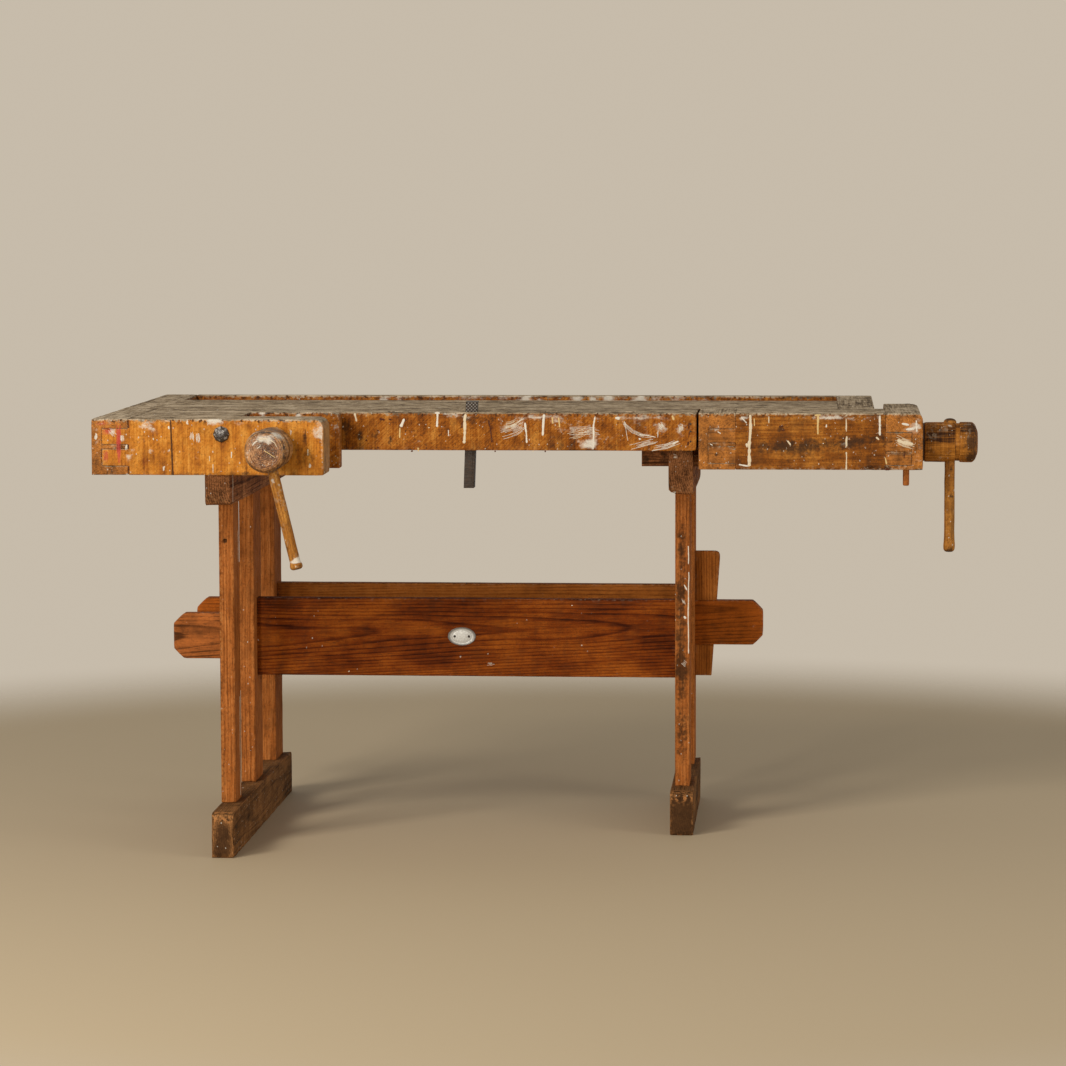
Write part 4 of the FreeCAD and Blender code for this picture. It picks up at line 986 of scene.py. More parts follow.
def trestles():
    """Feet, posts and bearers of both trestles."""
    for seed, node in enumerate(("left_foot", "right_foot")):
        box = limits(node)
        foot = boxes([box])
        for side in (-1, 1):
            cut_corner(foot, box, {Y: side, Z: 1}, 0.008, BEVEL)
        timber(node, "foot", Y, foot, heart=(0.01, 0.12), seed=31 + seed, strength=0.9, chips=0.003,
               stain_and_shade=FOOT_STAIN[node])

    foot_top = limits("left_foot")[1][Z]
    bearer_bottom = limits("left_bearer")[0][Z]
    for seed, node in enumerate(("left_front_post", "left_middle_post", "left_rear_post", "right_front_post",
                                 "right_rear_post")):
        low, high = limits(node)
        low[Z], high[Z] = foot_top, bearer_bottom
        holes = []
        dark = RIGHT_POST_STAIN if node == "right_front_post" else []
        if node == "left_front_post":
            hole = np.array((low[X] + HOLE_IN, low[Y], HOLE_HEIGHT))
            holes = [(hole - HOLE_HALF, hole + HOLE_HALF)]
            # The dark spot in and round the hole is painted shade in the recess.
            dark = [(hole[X] / MM, hole[Z] / MM, 3.5, 3.5, 2.5)]
            high[Y] += FRONT_POST_MORE
        timber(node, "post", Z, boxes([(low, high)], holes), heart=(0.045 - 0.012 * (seed % 3), 0.035),
               lean=(0.012, 0.0), seed=34 + seed, strength=0.7, chips=0.0015, stain_and_shade=dark)

    low, high = limits("left_bearer")
    arm_bottom, apron_front = limits("vise_arm")[0][Z], limits("dog_strip")[0][Y]
    left = boxes([(low, (high[X], apron_front, arm_bottom)), ((low[X], apron_front, low[Z]), high)])
    right_box = limits("right_bearer")
    way = runner_way("right_bearer", limits("tail_runner")[0][Z] - SLIDE_GAP, right_box[1][Z] + PAST)
    right = boxes([right_box], [way])
    cut_corner(right, right_box, {X: -1, Z: -1}, 0.009, BEVEL)
    for seed, (node, shape) in enumerate((("left_bearer", left), ("right_bearer", right))):
        for side in (-1, 1):
            cut_corner(shape, limits(node), {Y: side, Z: -1}, 0.010, BEVEL)
        timber(node, "bearer", Y, shape, heart=(0.0, 0.1), seed=41 + seed, strength=0.9, chips=0.003)


# A stretcher's stub: the shoulder above and below it, its chamfer, and how far it goes into the board.
STUB_SHOULDER = 0.0315
STUB_CHAMFER = 0.020
STUB_LAP = 0.004
WEDGE_NARROW = 0.65


def stretcher(node, seed, post_left, post_right, right_stub):
    """A stretcher board with a chamfered stub through the left post and, on one, through the right."""
    low, high = limits(node)
    parts = [boxes([((post_left, low[Y], low[Z]), (post_right, high[Y], high[Z]))])]
    stubs = [(-1, low[X], post_left + STUB_LAP)]
    if right_stub:
        stubs.append((1, post_right - STUB_LAP, high[X]))
    for side, start, end in stubs:
        box = ((start, low[Y], low[Z] + STUB_SHOULDER), (end, high[Y], high[Z] - STUB_SHOULDER))
        stub = boxes([box], cell=0.006)
        for edge in (-1, 1):
            cut_corner(stub, box, {X: side, Z: edge}, STUB_CHAMFER, BEVEL)
        parts.append(stub)
    # The rear stretcher takes the lighter pine, which is painted light against the shade under the top.
    timber(node, "lit_pine" if right_stub else "pine", X, joined(*parts), heart=(0.05, 0.012),
           lean=(0.02, 0.03), seed=seed, top=0.28, chips=0.001, bare=(post_left, post_right))


def base_rails():
    """Both stretchers and the wedges through their stubs, which narrow evenly towards their lower end."""
    post_left = limits("left_middle_post")[1][X]
    post_right = limits("right_front_post")[0][X]
    stretcher("front_stretcher", 51, post_left, post_right, False)
    stretcher("rear_stretcher", 52, post_left, post_right, True)
    for seed, (node, side) in enumerate((("front_left_wedge", -1), ("rear_left_wedge", -1),
                                         ("rear_right_wedge", 1))):
        box = low, high = limits(node)
        wedge = boxes([box], cell=0.006)
        cut_corner(wedge, box, {X: side, Z: 1}, 0.008, BENT)
        face = low[X] if side > 0 else high[X]
        height = (wedge.points[:, Z] - low[Z]) / (high[Z] - low[Z])
        taper = WEDGE_NARROW + (1 - WEDGE_NARROW) * height
        wedge.points[:, X] = face + (wedge.points[:, X] - face) * taper
        timber(node, "lit_pine", Z, wedge, heart=(0.05, 0.03), seed=53 + seed, strength=0.9)


# Round pieces

# How far the face of a piece lies behind its solid's, with room for the paint on it.
FACE_INSET = {"front_hub": 0.0006}
THREAD_PITCH = 0.012
THREAD_DEPTH = 0.0038
BORE_RADIUS = 0.0112
BORE_LENGTH = 0.2
# How far the tree's heart is from a turned piece's axis.
TURNED_HEART = (0.004, 0.003)


def round_wood(node, finish, surface, axis, seed, pale=(), stain_and_shade=()):
    """A turned wooden piece with its wood coordinates along its axis."""
    along, side, up = frame_along(axis)
    middle = (surface.points.min(0) + surface.points.max(0)) / 2
    offset = surface.points - middle
    grain = np.stack([offset @ along + GRAIN_SHIFT * seed, offset @ side + TURNED_HEART[0],
                      offset @ up + TURNED_HEART[1]], 1)
    worn = smooth_step(noise(surface.points, 60, seed), 0.55, 0.8) * 0.6
    facing = np.stack([np.abs(surface.normals() @ along), np.zeros(len(worn)), worn], 1)
    marks = np.stack([ring_marks(surface.points, middle, spots) for spots in (pale, stain_and_shade, ())], 1)
    make_piece(node + "_wood", surface, finish, node, None, grain, facing, marks)


def uneven_round(amount, seed):
    """A shape for a turned piece: the radius loses up to an amount in soft dents."""
    def shape(distance, radius, turn):
        spots = np.stack([distance * 45, np.cos(turn) * 1.6, np.sin(turn) * 1.6], -1).reshape(-1, 3)
        return radius - amount * noise(spots, 1.0, seed).reshape(radius.shape)
    return shape


def thread(start, end):
    """A shape for a wooden screw: between start and end the radius falls in V grooves along a helix."""
    def shape(distance, radius, turn):
        phase = (distance / THREAD_PITCH - turn / (2 * math.pi)) % 1.0
        groove = THREAD_DEPTH * (1 - np.abs(2 * phase - 1) ** 0.8)
        begun = smooth_step(distance, start, start + THREAD_PITCH)
        ended = smooth_step(distance, end - THREAD_PITCH, end)
        return radius - groove * begun * (1 - ended)
    return shape


def bored(surface, centre, direction):
    """A surface with a bar's round hole through it, by an exact boolean on two temporary objects."""
    rod = turned([(-BORE_LENGTH / 2, BORE_RADIUS), (BORE_LENGTH / 2, BORE_RADIUS)], centre, direction,
                 sides=40, reach=0.0001, step=BORE_LENGTH)
    blank, drill = as_object("blank", surface), as_object("drill", rod)
    cut = blank.modifiers.new("bore", "BOOLEAN")
    cut.object, cut.operation, cut.solver = drill, "DIFFERENCE", "EXACT"
    bpy.context.view_layer.update()
    mesh = bpy.data.meshes.new_from_object(blank.evaluated_get(bpy.context.evaluated_depsgraph_get()))
    mesh.calc_loop_triangles()
    points = np.zeros(len(mesh.vertices) * 3)
    mesh.vertices.foreach_get("co", points)
    tris = np.zeros(len(mesh.loop_triangles) * 3, np.int32)
    mesh.loop_triangles.foreach_get("vertices", tris)
    for used in (blank.data, drill.data, mesh):
        bpy.data.meshes.remove(used)
    return Surface(points.reshape(-1, 3), np.zeros((0, 4), int), tris.reshape(-1, 3))


def ring_spots(radius, along, reach, amount, angles):
    """Equal spots round a hub that lies along Y, at angles in degrees."""
    return [((radius * math.cos(turn), along, radius * math.sin(turn)), reach, amount)
            for turn in np.radians(angles)]


# Marks on turned pieces: soft spots of (place from the middle, reach, amount).
FRONT_HUB_PALE = [
    ((-0.004, -0.054, 0.025), 0.009, 0.85), ((0.010, -0.052, 0.022), 0.009, 0.80),
    ((-0.018, -0.052, 0.018), 0.008, 0.65), ((0.02, -0.045, 0.028), 0.011, 0.75),
    ((0.028, -0.03, 0.028), 0.014, 0.6), ((0.03, -0.045, 0.004), 0.010, 0.65),
    ((-0.029, -0.054, -0.004), 0.006, 0.5), ((0.036, -0.02, -0.004), 0.016, 0.42),
    ((0.0, -0.02, 0.04), 0.014, 0.5), ((-0.02, -0.04, 0.034), 0.008, 0.5),
]
FRONT_HUB_STAIN = [
    ((-0.012, -0.056, -0.002), 0.010, 0.5), ((0.012, -0.056, 0.0), 0.008, 0.5),
    ((0.022, -0.05, 0.012), 0.006, 0.7), ((-0.002, -0.05, 0.036), 0.005, 0.7),
    ((0.0, -0.056, -0.022), 0.012, 0.35), ((0.03, -0.02, 0.02), 0.010, 0.5),
    *ring_spots(0.037, -0.046, 0.006, 0.9, (-75, -50, -15, 12, 48, 74, 96, 128, 165, 200, 235)),
    *ring_spots(0.039, -0.004, 0.012, 0.75, (-20, 10, 40, 70, 100)),
]
TAIL_HUB_PALE = [((0.018, -0.036, 0.012), 0.005, 0.5), ((-0.002, -0.02, 0.033), 0.006, 0.7),
                 ((0.03, -0.03, 0.0), 0.010, 0.3)]
# Dark spots round the hub's right end: painted shade, darkening the side that the right-hand lamp lights.
TAIL_HUB_RIGHT_SHADE = [((0.038, -0.034, 0.0), 0.016, 1.0), ((0.038, -0.022, 0.028), 0.015, 0.85),
                  ((0.038, -0.022, -0.028), 0.015, 0.95)]
TAIL_BAR_STAIN = [((0.004, -0.01, -0.02), 0.006, 0.8), ((-0.003, -0.01, 0.045), 0.007, 0.9),
                  ((0.003, -0.01, 0.03), 0.006, 0.8)]
# Marks on the front bar: (distance along it, offset, reach, amount).
FRONT_BAR_PALE = [(0.038, (-0.004, -0.010, 0), 0.005, 0.9), (0.030, (0.006, -0.009, 0), 0.005, 0.8),
                  (-0.1135, (0, 0, 0), 0.0045, 150.0)]
FRONT_BAR_STAIN = [(-0.02, (0.004, -0.010, 0), 0.006, 0.6), (-0.128, (0, -0.012, 0), 0.010, 0.6)]

# Profiles: distances from one end and radii, or shares of the radius for the hub.
FRONT_HUB_LINE = [(0.0, 0.80), (0.005, 0.90), (0.022, 1.0), (0.062, 0.985)]
FRONT_HUB_BACK = 0.96
FRONT_BAR_LINE = [(-0.224, 0.0085), (-0.2205, 0.0121), (-0.2160, 0.0122), (-0.2105, 0.0101), (-0.15, 0.0104),
                  (-0.05, 0.0105), (0.02, 0.0102), (0.033, 0.0092), (0.036, 0.0055)]
TAIL_BAR_FOOT = [(0.0, 0.0072), (0.004, 0.0108), (0.012, 0.0114), (0.024, 0.0104), (0.12, 0.0101)]
TAIL_BAR_HEAD = [(0.031, 0.0104), (0.011, 0.0104), (0.0105, 0.0122), (0.005, 0.0124), (0.0012, 0.0082),
                 (0.0, 0.003)]
# Necks of the two screws, as shares of their radius, and where the tail screw's thread ends.
FRONT_NECK = 0.78
TAIL_NECK = 0.8
TAIL_THREAD_END = 0.07
# The groove round the tail hub: how far it is from the inner end, and its depth.
GROOVE_IN = 0.0585
GROOVE_DEPTH = 0.0022


def front_screw_set():
    """Wooden screw, hub and bar of the shoulder vise."""
    low, high = limits("front_hub")
    centre = middle_line("front_hub", Y)
    front, back = low[Y] + FACE_INSET["front_hub"], high[Y]
    radius = (high[X] - low[X]) / 2
    profile = [(front + along, radius * share) for along, share in FRONT_HUB_LINE]
    hub = turned([*profile, (back, radius * FRONT_HUB_BACK)], centre, AXES[Y], sides=72, reach=0.004,
                 step=0.004, shape=uneven_round(0.0022, 61))
    bar_axis = np.array([j for j in frame["joints"] if j["name"] == "front_bar_slide"][0]["axis"], float)
    bar_centre = np.where(AXES[Y], sum(limits("front_bar")) / 2, centre)
    round_wood("front_hub", "turned", bored(hub, bar_centre, bar_axis), AXES[Y], 61, FRONT_HUB_PALE,
               FRONT_HUB_STAIN)
    bar = turned(FRONT_BAR_LINE, bar_centre, bar_axis, sides=36, reach=0.004, shape=uneven_round(0.0009, 62))
    pale, stain_and_shade = ([(bar_axis * along + offset, reach, amount) for along, offset, reach, amount in spots]
                   for spots in (FRONT_BAR_PALE, FRONT_BAR_STAIN))
    round_wood("front_bar", "bar", bar, bar_axis, 62, pale, stain_and_shade)

    low, high = limits("front_screw")
    core = high[X] - centre[X]
    neck = core * FRONT_NECK
    garter_low, garter_high = limits("front_garter")
    start, end = garter_low[Y] - SLIDE_GAP, garter_high[Y] + SLIDE_GAP
    screw = turned([(low[Y], neck), (back, neck), (back, core), (start, core), (start, neck), (end, neck),
                    (end, core), (high[Y], core)], centre, AXES[Y], sides=48, reach=0.0006, step=0.0015,
                   shape=thread(back, garter_low[Y] - MM))
    round_wood("front_screw", "bar", screw, AXES[Y], 63)


def tail_screw_set():
    """Wooden screw, hub, bar and peg of the tail vise."""
    low, high = limits("tail_hub")
    centre = middle_line("tail_hub", X)
    left, right = low[X], high[X]
    radius = (high[Y] - low[Y]) / 2
    groove = left + GROOVE_IN
    hollow = radius - GROOVE_DEPTH
    profile = [(left, radius * 0.97), (left + 0.006, radius * 0.985), (left + 0.03, radius * 0.99),
               (groove - 0.001, radius * 0.985), (groove, hollow), (groove + 0.008, hollow),
               (groove + 0.009, radius), (right - 0.010, radius), (right - 0.0045, radius * 0.86),
               (right, radius * 0.55)]
    hub = turned(profile, centre, AXES[X], sides=72, reach=0.0025, step=0.004,
                 shape=uneven_round(0.0016, 64))
    bar_centre = middle_line("tail_bar", Z)
    hub = bored(hub, bar_centre + (0, 0, centre[Z]), AXES[Z])
    round_wood("tail_hub", "tail_turned", hub, AXES[X], 64, TAIL_HUB_PALE, TAIL_HUB_RIGHT_SHADE)

    low, high = limits("tail_bar")
    profile = [(low[Z] + along, radius) for along, radius in TAIL_BAR_FOOT]
    profile += [(high[Z] - along, radius) for along, radius in TAIL_BAR_HEAD]
    bar = turned(profile, bar_centre, AXES[Z], sides=36, reach=0.003, shape=uneven_round(0.0008, 65))
    reach = (high[Z] - low[Z]) / 2
    stain_and_shade = [((0, 0, reach), 0.014, 1.3), ((0, -0.01, -reach), 0.014, 0.8), *TAIL_BAR_STAIN]
    round_wood("tail_bar", "bar", bar, AXES[Z], 65, stain_and_shade=stain_and_shade)

    low, high = limits("tail_screw")
    core = (high[Y] - low[Y]) / 2
    neck = core * TAIL_NECK
    thread_end = limits("tail_end_block")[1][X] - TAIL_THREAD_END
    screw = turned([(low[X], core), (left, core), (left, neck), (high[X], neck)], centre, AXES[X], sides=48,
                   reach=0.0008, step=0.0015, shape=thread(low[X] - THREAD_PITCH, thread_end))
    round_wood("tail_screw", "bar", screw, AXES[X], 66)

    low, high = limits("tail_peg")
    peg = turned([(low[Z], 0.0054), (low[Z] + 0.003, 0.0062), (high[Z], 0.0062)], middle_line("tail_peg", Z),
                 AXES[Z], sides=24, reach=0.002, shape=uneven_round(0.0004, 67))
    round_wood("tail_peg", "post", peg, AXES[Z], 67)


# Metal pieces

BOLT_SHANK = 0.007
# The dog's half sizes at its shank and head, and the pitch and depth of its knurling.
DOG_SHANK = (0.010, 0.0125)
DOG_HEAD = (0.01125, 0.0135)
KNURL_PITCH = 0.0064
KNURL_DEPTH = 0.0014
# The oval plate: (depth behind its face, share of its size), from the rim inwards.
OVAL_LINE = [(0.0006, 1.0), (0.0001, 0.975), (0.0003, 0.94), (0.0006, 0.90), (0.0005, 0.75), (0.0007, 0.70),
             (0.0005, 0.65), (0.0003, 0.4), (0.0002, 0.12)]
# Three nails in the apron's end: their profile, how far they are from the end and how far below the top.
APRON_NAIL_LINE = [(-0.0002, 0.0016), (0.0002, 0.0022), (0.004, 0.0022)]
APRON_NAIL_IN = 0.011
APRON_NAIL_DROPS = (0.021, 0.035, 0.054)


def hammered_dome(distance, radius, turn):
    """Facets of a hand-forged head: the radius dips between eight soft flats."""
    return radius * (1 - 0.06 * np.abs(np.sin(4 * turn)) * smooth_step(radius, 0.003, 0.012))


def tie_bolt():
    """The tie bolt with its hand-forged head."""
    low, high = limits("tie_bolt")
    head = (high[X] - low[X]) / 2
    face = limits("vise_arm")[0][Y]
    profile = [(low[Y], 0), (low[Y] + 0.0002, head * 0.28), (low[Y] + 0.0016, head * 0.62),
               (low[Y] + 0.0042, head * 0.9), (face - 0.0012, head), (face + 0.0006, head * 0.97),
               (face + 0.001, BOLT_SHANK), (high[Y], BOLT_SHANK)]
    bolt = turned(profile, middle_line("tie_bolt", Y), AXES[Y], sides=64, reach=0.0016, step=0.002,
                  shape=hammered_dome)
    # Bright patches on the head: painted glints, carried in the number that marks wear.
    worn = smooth_step(noise(bolt.points, 300, 70), 0.5, 0.75) * 0.6
    make_piece("tie_bolt_steel", bolt, "bolt", "tie_bolt", facing=np.outer(worn, WEAR_AND_GLINT))


def bench_dog():
    """The bench dog: shank, leaf spring and knurled head, leaning as its slot does.

    The knurling sinks the points of the head's sides along their normals, by the sum of two zigzags that
    slant upwards and downwards round it.
    """
    low, high = limits("bench_dog")
    x, y = dog_middle()
    neck = BENCH_TOP + 0.0004
    half_x, half_y = DOG_SHANK
    shank = boxes([((x - half_x, y - half_y, low[Z] + 0.0008), (x + half_x, y + half_y, neck + 0.002))],
                  cell=0.006)
    spring = boxes([((x + 0.0052, y - 0.0129, low[Z] + 0.012), (x + 0.0098, y - 0.0119, neck - 0.004))],
                   cell=0.006)
    wear(shank, 0.5, 71, passes=3)
    half_x, half_y = DOG_HEAD
    head = boxes([((x - half_x, y - half_y, neck), (x + half_x, y + half_y, high[Z] - 0.0006))],
                 cell=0.0007, rim=(0.0003, 0.0006))
    normals = head.normals()
    wear(head, 0.7, 72)
    across = head.points[:, X] - x + head.points[:, Y] - y
    ridges = (np.abs((across + head.points[:, Z]) / KNURL_PITCH % 1 - 0.5)
              + np.abs((across - head.points[:, Z]) / KNURL_PITCH % 1 - 0.5))
    bite = KNURL_DEPTH * ridges * (np.abs(normals[:, Z]) < 0.5)
    head.points = head.points - normals * bite[:, None]
    dog = joined(shank, spring, head)
    dog.points[:, X] += (dog.points[:, Z] - BENCH_TOP) * DOG_LEAN
    # The knurl tops are bright: worn steel, with painted highlights on it.
    worn = np.zeros(len(dog.points))
    worn[-len(ridges):] = smooth_step(ridges, 0.5, 0.15) * 0.5
    make_piece("bench_dog_steel", dog, "steel", "bench_dog", facing=np.outer(worn, WEAR_AND_GLINT))


def plate_and_nails():
    """The bare oval plate, its two nails and the nails in the apron's end.

    The plate is a stack of ovals: half its size, times a share, times the cosine and sine of the turn.
    """
    low, high = limits("oval_plate")
    half = (high - low) / 2
    middle = (low + high) / 2
    rows = np.array([(high[Y], 0.99), *((low[Y] + depth, share) for depth, share in OVAL_LINE)])
    turn = np.linspace(0, 2 * math.pi, 72, endpoint=False)
    rings = np.stack(np.broadcast_arrays(middle[X] + rows[:, 1:] * half[X] * np.cos(turn), rows[:, :1],
                                         middle[Z] + rows[:, 1:] * half[Z] * np.sin(turn)), -1)
    oval = closed_tube(rings, (middle[X], high[Y], middle[Z]), (middle[X], rows[-1, 0], middle[Z]))
    share = np.hypot((oval.points[:, X] - middle[X]) / half[X], (oval.points[:, Z] - middle[Z]) / half[Z])
    worn = np.maximum(smooth_step(share, 0.86, 0.91), 0.55 * (np.abs(share - 0.7) < 0.02))
    make_piece("oval_plate_metal", oval, "plate", "oval_plate", facing=np.outer(worn, WEAR_AND_GLINT))

    strip_low, strip_high = limits("dog_strip")
    nail_x = strip_high[X] - APRON_NAIL_IN
    nails = [turned(APRON_NAIL_LINE, (nail_x, strip_low[Y], BENCH_TOP - drop), AXES[Y], sides=20,
                    reach=0.0003) for drop in APRON_NAIL_DROPS]
    make_piece("apron_nails", joined(*nails), "steel", body="bench")
    low, high = limits("plate_nails")
    nail = (high[Z] - low[Z]) / 2
    profile = [(low[Y], 0), (low[Y] + 0.0002, nail * 0.5), (low[Y] + 0.0008, nail * 0.95), (high[Y], nail)]
    nail_z = (low[Z] + high[Z]) / 2
    nails = [turned(profile, (nail_x, 0, nail_z), AXES[Y], sides=24, reach=0.0004, step=0.0006)
             for nail_x in (low[X] + nail, high[X] - nail)]
    make_piece("plate_nail_heads", joined(*nails), "steel", "plate_nails")


# Dried paint, and dark lines of painted shade

BEAD_SIDES = 12
BEAD_STEP = 0.0013


def bead(path, width, thick, node, axis, seed, tint):
    """A bead on a face, of dried paint and, in a few dark lines, of painted shade: a flat ragged oval
    carried along a path, narrowing at both ends.

    axis is Y on a front face, whose path is (x, z), or X on a right-hand face, whose path is (y, z). The
    half width follows two noises of the distance run, and closes in a quarter circle at each end.
    """
    path, width, thick = np.array(path, float) * MM, width * MM, thick * MM
    runs = np.concatenate([[0], np.cumsum(np.linalg.norm(np.diff(path, axis=0), axis=1))])
    rows = max(14, int(runs[-1] / BEAD_STEP))
    share = np.linspace(0, 1, rows)
    place = np.stack([np.interp(share * runs[-1], runs, path[:, k]) for k in range(2)], 1)
    heading = np.gradient(place, axis=0)
    heading /= np.maximum(np.linalg.norm(heading, axis=1, keepdims=True), TINY)
    square = np.stack([-heading[:, 1], heading[:, 0]], 1)
    spots = np.stack([share * runs[-1], np.full(rows, seed * 0.0173), np.zeros(rows)], 1)
    place += square * ((noise(spots, 90, seed) - 0.5) * width * 0.4)[:, None]
    close = np.clip(1 - np.minimum(share, 1 - share) * runs[-1] / (width * 0.6), 0, 1)
    half = width / 2 * (0.45 + 0.6 * noise(spots, 130, seed + 1) + 0.5 * noise(spots, 420, seed + 2))
    half *= np.sqrt(np.maximum(1 - close ** 2, 0.03))
    turn = np.linspace(0, 2 * math.pi, BEAD_SIDES, endpoint=False)
    aside = half[:, None] * np.cos(turn)
    rise = thick * np.sin(turn) * np.minimum(2 * half / width, 1.2)[:, None]
    low, high = limits(node)
    face, out, flat = (low[Y] + FACE_INSET.get(node, 0.0), -1, X) if axis == Y else (high[X], 1, Y)
    rings = np.zeros((rows, BEAD_SIDES, 3))
    rings[..., flat] = place[:, :1] + square[:, :1] * aside
    rings[..., axis] = face + out * rise
    rings[..., Z] = place[:, 1:] + square[:, 1:] * aside
    surface = closed_tube(rings, rings[0].mean(0), rings[-1].mean(0))
    return surface, np.outer(np.full(len(surface.points), tint), TINT)


def hairs(path, width, count, chance):
    """A dry brush's lines: the path set aside by part of its width, each cut short at random."""
    path = np.array(path, float)
    heading = path[-1] - path[0]
    square = np.array([-heading[1], heading[0]]) / np.linalg.norm(heading)
    lines = []
    for aside in np.linspace(-0.5, 0.5, count) * width:
        first, last = sorted(chance.uniform(0, 1, 2) * (0.45, 0.35) + (0, 0.65))
        spots = np.linspace(0, 1, len(path))
        cut = np.concatenate([[first], spots[(spots > first) & (spots < last)], [last]])
        line = np.stack([np.interp(cut, spots, path[:, k]) for k in range(2)], 1)
        lines.append(line + square * (aside + chance.uniform(-0.4, 0.4)))
    return lines


# The width of a brush hair's line, how much narrower a drip is than its stroke, and the random seed.
HAIR = 0.8
THINNER = 0.72
PAINT_SEED = 11
# Each stroke: its path on the face in millimetres, its width, its tint and, for a dry brush, its hairs.
ARM_PAINT_AND_JOINT_SHADE = [
    ([(-602, 824), (-599, 811)], 6, WHITE, 5), ([(-600, 822), (-574, 822)], 6, WHITE, 6),
    ([(-634, 803), (-631, 783)], 7, WHITE, 7), ([(-623, 799), (-619, 780)], 7, WHITE, 7),
    ([(-788, 807), (-775, 792)], 7, WHITE, 6), ([(-768, 798), (-762, 792), (-763, 783)], 4, WHITE, 4),
    ([(-559, 765), (-559, 753)], 3, WHITE), ([(-600, 757), (-600, 747)], 2, IVORY),
    ([(-594, 742), (-594, 725)], 2, IVORY), ([(-417, 770), (-417, 758)], 3, IVORY),
    # The three short dark lines at x -751 are painted shadow in the gaps of the arm's finger joint.
    ([(-751, 822), (-751, 808)], 3, DARK), ([(-751, 778), (-751, 769)], 3, DARK),
    ([(-751, 738), (-751, 723)], 3, DARK), ([(-769, 816), (-770, 780), (-769, 744)], 6, RED, 6),
    ([(-799, 803), (-778, 804)], 5, RED, 4), ([(-793, 772), (-794, 745)], 6, RED, 4),
    ([(-672, 823), (-671, 790), (-669, 755), (-668, 722)], 1.6, DARK),
    ([(-421, 806), (-420, 775)], 1.8, DARK), ([(-676, 812), (-675, 806)], 4, WHITE),
    ([(-705, 790), (-704, 786)], 3, IVORY),
]
APRON_PAINT = [
    ([(-102, 811), (-99, 797), (-97, 782), (-95, 770)], 4, DARK), ([(-96, 773), (-95, 769)], 6.5, DARK),
    ([(-309, 813), (-299, 811)], 6, DARK), ([(-152, 808), (-152, 795)], 3, DARK),
    ([(-248, 753), (-247, 750)], 6, DARK), ([(-90, 753), (-90, 750)], 4.5, DARK),
    ([(-18, 753), (-17, 751)], 4, IVORY), ([(5, 753), (6, 750)], 4, DARK),
    ([(-236, 755), (-235, 751)], 4, CREAM), ([(-345, 778), (-342, 777)], 5, DARK),
    ([(-336, 773), (-333, 771)], 5, DARK), ([(-313, 792), (-311, 789)], 4.5, DARK),
    ([(-313, 760), (-311, 757)], 5, DARK), ([(-292, 812), (-286, 810)], 5, DARK),
    ([(-261, 789), (-259, 788)], 4, DARK), ([(-222, 757), (-218, 757)], 4.5, DARK),
    ([(277, 806), (277, 795)], 3.2, DARK), ([(278, 790), (277, 778)], 3, DARK),
    ([(276, 771), (275, 763)], 4, DARK), ([(-357, 823), (-353, 807)], 5, IVORY),
    ([(-262, 813), (-266, 804), (-269, 797)], 7, WHITE), ([(-270, 796), (-271, 776)], 3, CREAM),
    ([(-204, 824), (-194, 824)], 5, WHITE), ([(-199, 824), (-200, 797)], 5, WHITE),
    ([(-178, 792), (-178, 780)], 2.5, WHITE), ([(-146, 822), (-147, 790), (-148, 766)], 6.5, IVORY),
    ([(-33, 806), (-31, 790), (-29, 767)], 5, WHITE), ([(3, 822), (2, 800), (1, 781)], 6, WHITE),
    ([(-108, 757), (-107.5, 756)], 6, WHITE), ([(-215, 797), (-215, 795)], 5, IVORY),
    ([(-236, 758), (-236, 755)], 4, CREAM), ([(19, 817), (20, 804)], 4, CREAM),
    ([(31, 816), (33, 797)], 3.5, CREAM), ([(100, 818), (97, 800), (97, 778), (96, 755)], 4, WHITE),
    ([(138, 815), (147, 814)], 6, WHITE),
    ([(150, 813), (158, 801), (171, 790), (190, 782), (216, 779)], 5, WHITE, 4),
    ([(184, 784), (215, 779)], 2.0, WHITE), ([(219, 806), (230, 793)], 9, WHITE, 8),
    ([(219, 792), (218, 778)], 2, WHITE), ([(261, 804), (263, 790)], 7, WHITE, 6),
    ([(164, 759), (195, 767), (221, 774)], 8, WHITE, 6), ([(204, 757), (235, 762), (260, 772)], 9, WHITE, 7),
    ([(246, 767), (258, 771)], 5, WHITE), ([(245, 820), (248, 811)], 5, CREAM),
    ([(156, 806), (162, 772)], 1.6, WHITE), ([(182, 776), (186, 774)], 5, WHITE),
    ([(-80, 783), (-52, 792), (-28, 808)], 20, WHITE, 10),
    ([(-77, 800), (-58, 803), (-40, 812)], 11, IVORY, 6), ([(50, 790), (84, 791), (112, 787)], 14, WHITE, 6),
    ([(46, 779), (70, 784), (96, 797)], 12, IVORY, 6),
]
